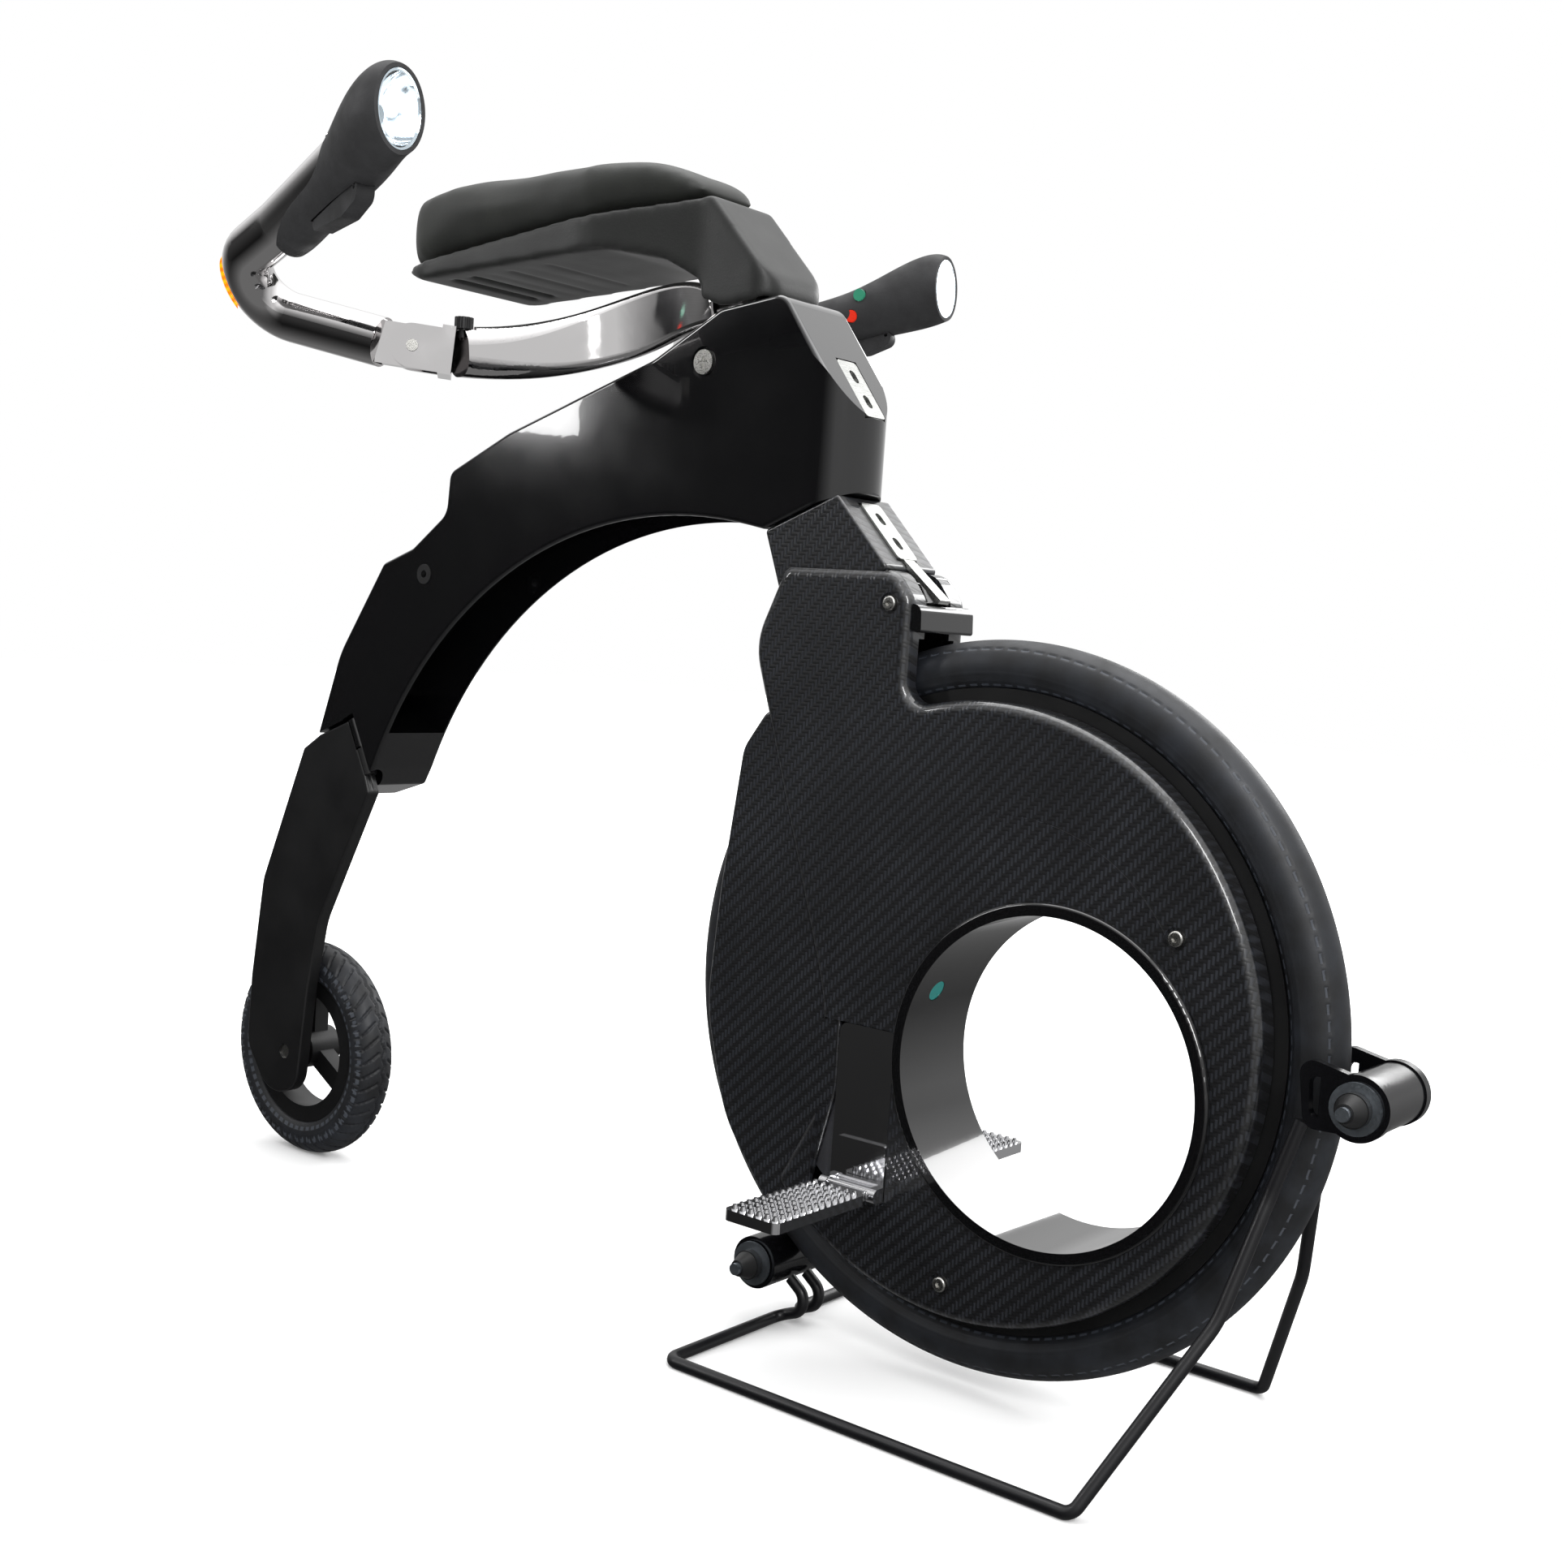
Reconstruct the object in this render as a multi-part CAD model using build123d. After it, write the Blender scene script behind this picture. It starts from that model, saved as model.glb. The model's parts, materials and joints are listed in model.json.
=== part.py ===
"""Folding electric mini-farthing bicycle with a hubless front wheel, on its display stand.

Millimetres, +Z up, +X forward, +Y to the rider's left. The side outlines below are (x, z, corner
radius) with x = 0 at the front axle and z = 0 on the floor; put() moves every piece so that the
origin is under the middle of the whole bicycle.
"""
from build123d import *
import math
import os

os.makedirs("parts", exist_ok=True)

# ---------------------------------------------------------------- driving dimensions
FRONT_TYRE_R = 237.0        # 20 x 1.35 tyre, outside
FRONT_TUBE_R = 17.5         # half the tyre's width
FRONT_LIFT = 10.0           # the stand holds the tyre this far off the floor
BEAD_DEPTH = 2.0            # the tyre's beads lie this deep in its round section
RIM_SEAT_R = FRONT_TYRE_R - 2 * FRONT_TUBE_R + BEAD_DEPTH
RIM_TRACK_R = 180.0         # inner track that the rollers run on
RIM_LIP_R = 176.0
RIM_HALF = 13.2
REAR_TYRE_R = 92.0          # 8 inch rear tyre
REAR_TUBE_R = 17.5
WHEELBASE = 677.0
HOLE_R = 103.0              # the open middle of the front wheel
HOLE_AHEAD = 60.0
HOLE_BELOW = 32.0
COVER_R = 198.0             # carbon side covers
COVER_HALF = 34.0           # from the middle plane to a cover's face
COVER_WALL = 3.0
COVER_EDGE_R = 7.0          # rolled outer edge
COVER_INNER = 14.5          # where a cover's rolled edge ends, beside the rim
STEP_R = 131.0              # raised flat of a cover
STEP_RISE = 1.2
PANEL_DROP = 3.2            # rear panels lie this far under the covers' faces
PANEL_WALL = 2.6
FRAME_HALF = 33.0           # backbone, half width
FRAME_WALL = 3.5
FORK_HALF = 30.0            # fork head between the covers' cheeks
HEAD_TILT = 23.0            # steering axis from vertical
HEAD_X = -160.0             # a point of the steering axis, at the head's lower face
HEAD_Z = 560.0
STEERER_R = 11.0
HEAD_BEARING_R = 19.0
FOLD_X = -143.0             # main fold pivot, in the covers' cheeks
FOLD_Z = 473.0
FOLD_PIN_R = 6.0
LEG_THICK = 11.0            # rear fork leg
LEG_FACE = 32.0             # its outer face from the middle plane
REAR_AXLE_R = 6.0
SEAT_HALF = 62.0
SEAT_NECK_HALF = 34.0
BAR_R = 17.0                # handlebar tube
LAMP_W = 15.0               # headlight opening, half width and half height
LAMP_H = 23.0
PEG_LONG = 107.0
PEG_WIDE = 42.0
PEG_THICK = 7.0
STAND_WIRE_R = 4.0
STAND_HALF = 127.0          # floor rails from the middle plane
STAND_FRONT_X = 152.0
STAND_REAR_X = -147.0
STAND_ROLLER_R = 18.0
STAND_ROLLER_HALF = 31.0
ROLLER_R = 12.0             # guide rollers inside the covers

# ---------------------------------------------------------------- clearances
RUN = 0.05                  # radial clearance of a running fit
GAP = 0.3                   # between pieces that move past each other
SEAT_FIT = 0.2              # between pieces of one body

# ---------------------------------------------------------------- derived places
WHEEL_Z = FRONT_TYRE_R + FRONT_LIFT
HOLE_X = HOLE_AHEAD
HOLE_Z = WHEEL_Z - HOLE_BELOW
REAR_X = -WHEELBASE
REAR_Z = REAR_TYRE_R
ROLLER_FAR = FRONT_TYRE_R + STAND_ROLLER_R + GAP
FRONT_ROLLER_ANGLE = -1.5
REAR_ROLLER_ANGLE = -127.5


def on_wheel(angle, radius):
    """The x, z of a point at an angle and radius about the front axle."""
    turn = math.radians(angle)
    return radius * math.cos(turn), WHEEL_Z + radius * math.sin(turn)


FRONT_ROLLER = on_wheel(FRONT_ROLLER_ANGLE, ROLLER_FAR)
REAR_ROLLER = on_wheel(REAR_ROLLER_ANGLE, ROLLER_FAR)
STAND_BOSS_R = STAND_ROLLER_R + 1.0
FRONT_EDGE = FRONT_ROLLER[0] + STAND_BOSS_R
REAR_EDGE = REAR_X - REAR_TYRE_R
ORIGIN_X = (FRONT_EDGE + REAR_EDGE) / 2


# ---------------------------------------------------------------- helpers
def put(name, shape):
    """Write one node, moved to the bicycle's own origin."""
    solids = shape.solids() if hasattr(shape, "solids") else [shape]
    whole = solids[0] if len(solids) == 1 else Compound(children=list(solids))
    export_step(Pos(-ORIGIN_X, 0, 0) * whole, f"parts/{name}.step")


def outline(corners):
    """A closed side outline from (x, z, radius) corners."""
    line = FilletPolyline(*[(x, z) for x, z, r in corners], radius=[r for x, z, r in corners], close=True)
    return make_face(line)


def slab(face, low_y, high_y):
    """A side outline given thickness between two y values."""
    return Pos(0, high_y, 0) * extrude(Plane.XZ * face, amount=high_y - low_y)


def across(x, z, radius, low_y, high_y):
    """A round bar along Y."""
    return slab(Pos(x, z) * Circle(radius), low_y, high_y)


def mirrored(shape):
    """The same piece on the rider's left."""
    return mirror(shape, about=Plane.XZ)


def both(shape):
    """A piece and its mirror image, as separate solids."""
    return Compound(children=list(shape.solids()) + list(mirrored(shape).solids()))


def face_edges(shape, y):
    """The edges that lie in the plane at y."""
    return shape.edges().filter_by(lambda e: all(abs(v.Y - y) < 1e-4 for v in e.vertices())
                                   and abs(e.center().Y - y) < 1e-4)


HEAD = Plane(origin=(HEAD_X, 0, HEAD_Z),
             x_dir=(math.cos(math.radians(HEAD_TILT)), 0, math.sin(math.radians(HEAD_TILT))),
             z_dir=(-math.sin(math.radians(HEAD_TILT)), 0, math.cos(math.radians(HEAD_TILT))))


def head_line(x, lift=0.0):
    """The z of the joint face between frame head and fork head at x."""
    return HEAD_Z + (x - HEAD_X) * math.tan(math.radians(HEAD_TILT)) + lift


def on_head(radius, low, high):
    """A round bar along the steering axis, from low to high above the joint face."""
    return HEAD * (Pos(0, 0, low) * Cylinder(radius, high - low, align=(Align.CENTER, Align.CENTER, Align.MIN)))


# ---------------------------------------------------------------- frame
FRAME_TOP_FRONT = (-184.5, 705.0)
FRAME_TOP_BACK = (-240.0, 697.0)
ARCH_R = 342.0
ARCH_CORNER = (-468.6, 597.6)


def frame_side():
    return outline([
        (*FRAME_TOP_FRONT, 14), (*FRAME_TOP_BACK, 12), (-300, 664, 60), (-443, 614, 60), (-506, 584, 10),
        (-508, 552, 16), (-545, 524, 12), (-579, 511, 8), (-628, 436, 80), (-651, 368, 6), (-630, 316, 8),
        (-588, 330, 4), (-580, 345, 0), (*ARCH_CORNER, ARCH_R), (-190, head_line(-190), 3),
        (-112, head_line(-112), 6), (-113, 606, 20), (-124, 624, 30)])


def frame_plan():
    nose = 33.0
    nose_x = -157.0
    back = Pos((nose_x - 700) / 2, 0) * Rectangle(nose_x + 700, 2 * FRAME_HALF)
    return back + Pos(nose_x, 0) * Circle(nose)


def frame_shell():
    body = slab(frame_side(), -FRAME_HALF, FRAME_HALF)
    side_edges = face_edges(body, -FRAME_HALF) + face_edges(body, FRAME_HALF)
    body = fillet(side_edges, 3.0)
    body = body & extrude(frame_plan(), amount=800)
    hollow = outline([(-232, 668, 12), (-300, 640, 40), (-443, 592, 40), (-492, 560, 10), (-545, 505, 20),
                      (-612, 428, 30), (-618, 400, 10), (-566, 372, 14), (-440, 470, 80), (-300, 520, 80),
                      (-232, 530, 12)])
    slot = outline([(-232, 600, 10), (-232, 520, 10), (-330, 500, 40), (-470, 410, 60), (-548, 352, 16),
                    (-572, 384, 16), (-560, 420, 60), (-430, 540, 80)])
    inner = FRAME_HALF - FRAME_WALL
    body = body - slab(hollow, -inner, inner) - slab(slot, -inner + 6, inner - 6)
    body = body - on_head(STEERER_R + 2.0, -10, 200)
    for low in (-1.0, HEAD_TOP - BEARING_TALL):
        body = body - on_head(HEAD_BEARING_R, low, low + BEARING_TALL + 1.0)
    body = body - on_head(HEAD_BEARING_R + 1.5, HEAD_TOP, HEAD_TOP + 30)
    for hole in FRAME_SCREWS:
        body = body - across(*hole, SCREW_SEAT_R, -FRAME_HALF - 1, -FRAME_HALF + 2.2)
        body = body - across(*hole, SCREW_SEAT_R, FRAME_HALF - 2.2, FRAME_HALF + 1)
    body = body - across(*INSERT, INSERT_R, -FRAME_HALF - 1, FRAME_HALF + 1)
    barrel, web = frame_knuckle()
    body = body - leg_space() + web + barrel - latch_space(UPPER_LATCH)
    return body - on_seam(LEG_PIN_R + SEAT_FIT / 2, -0.1, 1.1)


BEARING_TALL = 10.0
HEAD_TOP = 146.0
SCREW_SEAT_R = 11.0
SCREW_R = 8.5
FRAME_SCREWS = [(-252.0, 661.0)]
INSERT = (-529.0, 504.0)
INSERT_R = 8.0
INSERT_BORE_R = 3.0


def frame_screws():
    """Two big cross-slotted screws that clamp the seat post, with their shanks."""
    x, z = FRAME_SCREWS[0]
    head = across(x, z, SCREW_R, -FRAME_HALF - 0.6, -FRAME_HALF + 2.0)
    head = head - slab(Pos(x, z) * Rectangle(8, 1.6), -FRAME_HALF - 1, -FRAME_HALF + 0.4)
    head = head - slab(Pos(x, z) * Rectangle(1.6, 8), -FRAME_HALF - 1, -FRAME_HALF + 0.4)
    return both(head)


def frame_inserts():
    """Threaded sockets in the frame's sides, for a carrier or a light."""
    x, z = INSERT
    ring = across(x, z, INSERT_R - SEAT_FIT / 2, -FRAME_HALF - 0.5, -FRAME_HALF + FRAME_WALL)
    return both(ring - across(x, z, INSERT_BORE_R, -FRAME_HALF - 1, -FRAME_HALF + FRAME_WALL + 1))


def head_bearings():
    rings = []
    for low in (0.0, HEAD_TOP - BEARING_TALL + SEAT_FIT):
        ring = on_head(HEAD_BEARING_R - 0.1, low, low + BEARING_TALL - SEAT_FIT)
        rings.append(ring - on_head(STEERER_R + RUN, low - 1, low + BEARING_TALL + 1))
    return Compound(children=[s for r in rings for s in r.solids()])


# ---------------------------------------------------------------- seat
def seat_plan():
    right = [(-562, -SEAT_HALF, 52), (-345, -SEAT_HALF, 90), (-262, -SEAT_NECK_HALF, 60),
             (-198, -SEAT_NECK_HALF, 16)]
    left = [(x, -y, r) for x, y, r in reversed(right)]
    line = FilletPolyline(*[(x, y) for x, y, r in right + left], radius=[r for x, y, r in right + left], close=True)
    return make_face(line)


def frame_top(x, lift=SEAT_FIT):
    """The z of the frame's flat top at x, where the seat's neck stands."""
    run = (x - FRAME_TOP_BACK[0]) / (FRAME_TOP_FRONT[0] - FRAME_TOP_BACK[0])
    return FRAME_TOP_BACK[1] + run * (FRAME_TOP_FRONT[1] - FRAME_TOP_BACK[1]) + lift


SEAM = [(-600.0, 731.0), (-150.0, 789.0)]


def seat_body():
    side = outline([(-562, 790, 26), (-470, 799, 0), (-300, 802, 30), (-270, 793, 40), (-198, 716, 20),
                    (-198, frame_top(-198), 0), (-238, frame_top(-238), 0), (-258, 704, 0), (-262, 718, 8),
                    (-288, 732, 14), (-330, 739, 30), (-520, 727, 20), (-562, 740, 14)])
    whole = slab(side, -SEAT_HALF - 5, SEAT_HALF + 5) & extrude(Pos(0, 0, 600) * seat_plan(), amount=300)
    return whole


def above_seam(lift):
    (x0, z0), (x1, z1) = SEAM
    return slab(make_face(Polyline((x0, z0 + lift), (x1, z1 + lift), (x1, 900), (x0, 900), close=True)), -90, 90)


def seat_pad():
    pad = seat_body() & above_seam(SEAT_FIT / 2)
    return pad


def seat_base():
    base = seat_body() - above_seam(-SEAT_FIT / 2)
    inside = outline([(-204, 690, 0), (-204, 716, 4), (-300, 716, 4), (-300, 690, 0)])
    base = base - slab(inside, -SEAT_NECK_HALF + 4, SEAT_NECK_HALF - 4)
    rib_gap = 5.0
    for i in range(9):
        x = -500 + 20 * i
        groove = Pos(x, 0, 725) * Box(rib_gap, 2 * SEAT_HALF - 36, 22)
        base = base - groove
    return base


# ---------------------------------------------------------------- steering: steerer, fork head, handlebar
def steerer_tube():
    return on_head(STEERER_R, -40, HEAD_TOP + 14)


def fork_side():
    top = -0.6
    return outline([
        (-190, head_line(-190, top), 3), (-131, head_line(-131, top), 3), (-87, 526, 4), (-98, 506, 6),
        (-112, 490, 0), (FOLD_X + 26, FOLD_Z - 12, 10), (FOLD_X + 8, FOLD_Z - 27, 16),
        (FOLD_X - 16, FOLD_Z - 25, 16), (FOLD_X - 31, FOLD_Z, 16), (-174, 505, 10)])


def fork_head():
    body = slab(fork_side(), -FORK_HALF, FORK_HALF)
    body = fillet(face_edges(body, -FORK_HALF) + face_edges(body, FORK_HALF), 2.0)
    body = body - on_head(STEERER_R + SEAT_FIT / 2, -41, 10)
    body = body - across(FOLD_X, FOLD_Z, FOLD_PIN_R + RUN, -40, 40)
    return body - latch_space(LOWER_LATCH) - hook_bar(7.0, 2.0, 2.0)


def fold_pin():
    return across(FOLD_X, FOLD_Z, FOLD_PIN_R, -COVER_HALF + COVER_WALL + GAP, COVER_HALF - COVER_WALL - GAP)


# The handlebar on the rider's right. Stations of its flattened arm: x, y, z, height, thickness.
ARM = [(-262, -13, 701, 24, 12), (-307, -25, 694, 42, 12), (-333, -40, 682, 42, 14), (-353, -60, 672, 40, 18),
       (-367, -86, 664, 38, 24), (-376, -112, 659, 36, 29), (-384, -139, 656, 34, 32)]
BAR_HINGE = Vector(-402.0, -165.0, 656.0)
BAR_CORNERS = [(-440, -206, 660), (-545, -236, 688), (-440, -249.6, 724), (-296, -287.6, 765)]
BAR_BEND_R = 30.0
BAR_OUT = (Vector(*BAR_CORNERS[0]) - BAR_HINGE).normalized()
BAR_PIN_AXIS = Vector(-BAR_OUT.Y, BAR_OUT.X, 0).normalized()
TONGUE_HALF = 5.0
TONGUE_R = 15.0
EAR_THICK = 5.0
BAR_PIN_R = 4.0
BAR_START = 20.0            # the outer tube starts this far past the hinge
GRIP_DIR = (Vector(*BAR_CORNERS[3]) - Vector(*BAR_CORNERS[2])).normalized()
LENS_AT = Vector(-276.0, -293.0, 770.0)
LAMP_DIR = Vector(1, -0.06, 0.04).normalized()


def hinge_disc(radius, low, high):
    """A disc about the handlebar's fold pin; low and high run along the pin."""
    flat = Plane(origin=BAR_HINGE, x_dir=BAR_OUT, z_dir=BAR_PIN_AXIS)
    return flat * (Pos(0, 0, low) * Cylinder(radius, high - low, align=(Align.CENTER, Align.CENTER, Align.MIN)))


def hinge_block(start, end, half_pin, half_tall):
    """A block along the bar's line, from start to end past the hinge."""
    flat = Plane(origin=BAR_HINGE, x_dir=BAR_OUT, z_dir=BAR_PIN_AXIS)
    return flat * (Pos((start + end) / 2, 0, 0) * Box(end - start, 2 * half_tall, 2 * half_pin))


def handlebar_yoke():
    """Flattened arms swept from a collar on the steerer, one each side, each ending in a clevis."""
    def station(i):
        x, y, z, tall, thick = ARM[i]
        before = Vector(*ARM[max(i - 1, 0)][:3])
        after = Vector(*ARM[min(i + 1, len(ARM) - 1)][:3])
        along = (after - before).normalized()
        sideways = along.cross(Vector(0, 0, 1)).normalized()
        plane = Plane(origin=(x, y, z), x_dir=sideways, z_dir=along)
        return plane * RectangleRounded(thick, tall, min(thick, tall) * 0.42)
    arm = loft([station(i) for i in range(len(ARM))])
    stop = hinge_block(-28, -19, 16, 16.5)
    for side in (-1, 1):
        near, far = sorted((side * (TONGUE_HALF + GAP), side * (TONGUE_HALF + GAP + EAR_THICK)))
        ear = hinge_disc(TONGUE_R, near, far) + hinge_block(-24, 0, TONGUE_HALF + GAP + EAR_THICK, TONGUE_R)
        ear = ear - hinge_block(-19, 1, TONGUE_HALF + GAP, TONGUE_R + 1) - hinge_disc(TONGUE_R + 1, -5.3, 5.3)
        arm = arm + ear
    arm = arm + stop - hinge_disc(BAR_PIN_R + SEAT_FIT / 2, -40, 40)
    arm = arm - KNOB * (Pos(0, 0, -3) * Cylinder(KNOB_STEM_R + RUN, 9)) - KNOB * (Pos(0, 0, 6.7) * Cylinder(9, 14))
    collar = on_head(STEERER_R + 4.5, HEAD_TOP + 3, HEAD_TOP + 13)
    neck = Pos(-242, 0, 708.5) * Box(50, 20, 9)
    blade = Pos(-263, 0, 702) * Box(10, 30, 20)
    whole = arm + mirrored(arm) + neck + blade + collar
    return whole - on_head(STEERER_R + SEAT_FIT / 2, HEAD_TOP - 10, HEAD_TOP + 40)


def bar_hinge_pins():
    half = TONGUE_HALF + GAP + EAR_THICK + 1.5
    return both(hinge_disc(BAR_PIN_R, -half, half))


def bar_line():
    start = BAR_HINGE + BAR_OUT * BAR_START
    points = [start] + [Vector(*c) for c in BAR_CORNERS[1:]]
    return FilletPolyline(*points, radius=[BAR_BEND_R, 60])


def bar_sweep(radius):
    line = bar_line()
    return sweep(Plane(origin=line @ 0, z_dir=line % 0) * Circle(radius), path=line)


def bar_tube():
    tube = bar_sweep(BAR_R)
    tongue = hinge_disc(TONGUE_R - 0.5, -TONGUE_HALF, TONGUE_HALF)
    tongue = tongue + hinge_block(0, BAR_START + 4, TONGUE_HALF, TONGUE_R - 0.5)
    tongue = tongue - hinge_disc(BAR_PIN_R + RUN, -10, 10)
    return tube + tongue


def grip_section(along, wide, tall, inward, drop):
    """One oval section of the grip, square to the tube, along it from the bend towards the lamp."""
    at = Vector(*BAR_CORNERS[2]) + GRIP_DIR * along + Vector(0, inward, -drop)
    return Plane(origin=at, x_dir=GRIP_DIR.cross(Vector(0, 0, 1)).normalized(), z_dir=GRIP_DIR) * Ellipse(wide, tall)


LAMP = Plane(origin=LENS_AT, x_dir=LAMP_DIR.cross(Vector(0, 0, 1)).normalized(), z_dir=LAMP_DIR)


def grip():
    sections = [grip_section(6, 14, 15, 6, 8), grip_section(30, 17.5, 20, 4, 5),
                grip_section(80, 18.5, 21, 3, 4), grip_section(120, 21, 24, 1, 2),
                LAMP * (Pos(0, 0, -8) * Ellipse(21.5, 29)), LAMP * (Pos(0, 0, 2) * Ellipse(18.5, 26.5))]
    body = loft(sections)
    body = body - bar_sweep(BAR_R + SEAT_FIT / 2)
    body = body - LAMP * (Pos(0, 0, -30) * extrude(Ellipse(LAMP_W + 1, LAMP_H + 1), amount=60))
    pin = trigger_pin(TRIGGER_PIN_R, 3.0) & body
    body = body - trigger_shape(0.6, TRIGGER_LIFT) + pin
    for place in BUTTONS:
        body = body - button_shape(place, 0.4, 2.5)
    return max(body.solids(), key=lambda s: s.volume)


def reflector():
    bowl = loft([LAMP * (Pos(0, 0, -20) * Ellipse(5, 7)), LAMP * (Pos(0, 0, -10) * Ellipse(LAMP_W - 3, LAMP_H - 4)),
                 LAMP * (Pos(0, 0, 0) * Ellipse(LAMP_W + 0.6, LAMP_H + 0.6))])
    hollow = loft([LAMP * (Pos(0, 0, -18.5) * Ellipse(3.5, 5.5)),
                   LAMP * (Pos(0, 0, -10) * Ellipse(LAMP_W - 4.5, LAMP_H - 5.5)),
                   LAMP * (Pos(0, 0, 0.2) * Ellipse(LAMP_W - 0.9, LAMP_H - 0.9))])
    return bowl - hollow


def lamp_lens():
    return LAMP * (Pos(0, 0, 0.2) * extrude(Ellipse(LAMP_W + 0.6, LAMP_H + 0.6), amount=1.6))


def indicator():
    """Amber lens on the outside of the bend."""
    skin = bar_sweep(BAR_R + 1.6) - bar_sweep(BAR_R + SEAT_FIT / 2)
    window = Pos(-516, -250, 697) * Rot(0, -8, 20) * Box(26, 24, 56)
    return max((skin & window).solids(), key=lambda s: s.volume)


TRIGGER = Plane(origin=Vector(*BAR_CORNERS[2]) + GRIP_DIR * 98 + Vector(0, 1, -27), x_dir=GRIP_DIR,
                z_dir=GRIP_DIR.cross(Vector(0, 0, 1)).normalized())
TRIGGER_HALF = 6.0
TRIGGER_PIVOT = 30.0        # pivot from the trigger's middle, towards the lamp
TRIGGER_PIN_R = 1.5
TRIGGER_LIFT = 5.5          # how far its free end can be squeezed into the grip


def trigger_shape(grow, lift):
    """The trigger's side outline given thickness; the pocket for it is larger and lets its free end lift."""
    half = TRIGGER_HALF + grow
    side = FilletPolyline((-34 - grow, 3 + grow + lift), (34 + grow, 3 + grow), (34 + grow, -8 - grow),
                          (10, -11 - grow), (-30 - grow, -4 - grow), radius=[3, 3, 7, 10, 3], close=True)
    return TRIGGER * (Pos(0, 0, -half) * extrude(make_face(side), amount=2 * half))


def trigger_pin(radius, more):
    """The pin the trigger turns on, reaching this far beyond each of its sides."""
    half = TRIGGER_HALF + more
    return TRIGGER * (Pos(TRIGGER_PIVOT, 0, -half) * extrude(Circle(radius), amount=2 * half))


def trigger():
    return trigger_shape(0.0, 0.0) - trigger_pin(TRIGGER_PIN_R + RUN, 1.0)


BUTTONS = [(112.0, 8.0), (106.0, -8.0)]
BUTTON_R = 5.0
BUTTON_TALL = 3.0


def button_shape(place, grow, deeper):
    """A button on the inner side of the grip; place is along the grip and up from its middle."""
    along, up = place
    at = Vector(*BAR_CORNERS[2]) + GRIP_DIR * along + Vector(0, 22.6, up)
    plane = Plane(origin=at, z_dir=(-0.1, -1, 0.02))
    depth = BUTTON_TALL + deeper
    return plane * extrude(Circle(BUTTON_R + grow), amount=depth)


KNOB_STEM_R = 3.4
KNOB = Plane(origin=BAR_HINGE + BAR_OUT * -34 + Vector(0, 0, 17.5), z_dir=(0, 0, 1))


def knob():
    """Spring plunger that locks the folding bar."""
    grip_ring = Pos(0, 0, 4) * Cylinder(6.5, 8)
    for i in range(12):
        grip_ring = grip_ring - Rot(0, 0, 30 * i) * (Pos(6.9, 0, 5) * Cylinder(1.0, 12))
    return KNOB * (grip_ring + Pos(0, 0, -2.5) * Cylinder(KNOB_STEM_R, 7))


# ---------------------------------------------------------------- front wheel
def front_ring(radius, low, high):
    return across(0, WHEEL_Z, radius, low, high)


def torus_at(x, z, centre_r, tube_r):
    return Pos(x, 0, z) * Rot(90, 0, 0) * Torus(centre_r, tube_r)


def front_tyre():
    middle = FRONT_TYRE_R - FRONT_TUBE_R
    tyre = torus_at(0, WHEEL_Z, middle, FRONT_TUBE_R) - torus_at(0, WHEEL_Z, middle, FRONT_TUBE_R - 3.2)
    return tyre - front_ring(RIM_SEAT_R, -30, 30)


def front_rim():
    rim = front_ring(RIM_SEAT_R - SEAT_FIT, -RIM_HALF, RIM_HALF) - front_ring(RIM_TRACK_R, -10, 10)
    rim = rim - front_ring(RIM_LIP_R, -30, 30)
    for side in (-1, 1):
        low, high = sorted((side * 11.7, side * RIM_HALF))
        rim = rim + front_ring(RIM_SEAT_R + 2.2, low, high) - front_ring(RIM_LIP_R, -30, 30)
    return rim


# ---------------------------------------------------------------- hub: covers, panels, sleeve, crown
def disc_face(radius, x=0.0, z=WHEEL_Z):
    return Pos(x, z) * Circle(radius)


def cover_face():
    """Side outline of a cover: disc in front, cheek above, curved rear edge."""
    cheek = outline([(-300, 150, 0), (-300, 523.5, 0), (-78, 523.5, 16), (CHEEK_FRONT, 505, 14),
                     (CHEEK_FRONT, 400, 0), (-20, 300, 0), (-20, 150, 0)])
    behind = outline([(-500, 90, 0), (-150, 90, 0), (-107, 172, 60), (-113, 240, 200),
                      (-192, 470, 44), (-166, 530, 0), (-166, 600, 0), (-500, 600, 0)])
    face = disc_face(COVER_R) + cheek - behind
    for x, z, radius in ((-169, 523.5, 10), (CHEEK_FRONT, 434, 14), (-141, 108, 8)):
        face = fillet(face.vertices().sort_by_distance((x, z, 0))[0], radius)
    return face


def cover_right():
    """Carbon side shell: rolled front edge, open at the back, pierced by the wheel's open middle."""
    face = cover_face()
    body = slab(face, -COVER_HALF, -COVER_INNER)
    body = fillet(face_edges(body, -COVER_HALF), COVER_EDGE_R)
    cavity = slab(disc_face(COVER_R - COVER_WALL), -COVER_HALF + COVER_WALL, -COVER_INNER + 1)
    inside = CHEEK_FRONT - COVER_WALL
    hollow = outline([(-260, 60, 0), (inside, 60, 0), (inside, 505, 11), (-80, CHEEK_TOP, 6),
                      (-85, CHEEK_TOP, 0), (-85, 700, 0), (-260, 700, 0)])
    body = body - cavity - slab(hollow, -COVER_HALF + COVER_WALL, -COVER_INNER + 1)
    tyre_room = front_ring(FRONT_TYRE_R + 5, -FRONT_TUBE_R - 3, 0) - front_ring(COVER_R + 0.5, -40, 1)
    body = body - tyre_room
    body = body + slab(disc_face(STEP_R, 25, 245) & face, -COVER_HALF - STEP_RISE, -COVER_HALF + 1)
    body = body - across(HOLE_X, HOLE_Z, HOLE_R + 4, -60, 60)
    body = body - slab(PEG_RECESS, -COVER_HALF - 5, -COVER_HALF + COVER_WALL + 5)
    for x, z in COVER_SCREWS:
        body = body - across(x, z, COVER_SCREW_R + 2.0, -COVER_HALF - 5, -COVER_HALF + 1.6)
        body = body - across(x, z, SCREW_SHANK_R, -60, 60)
    return body


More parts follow.
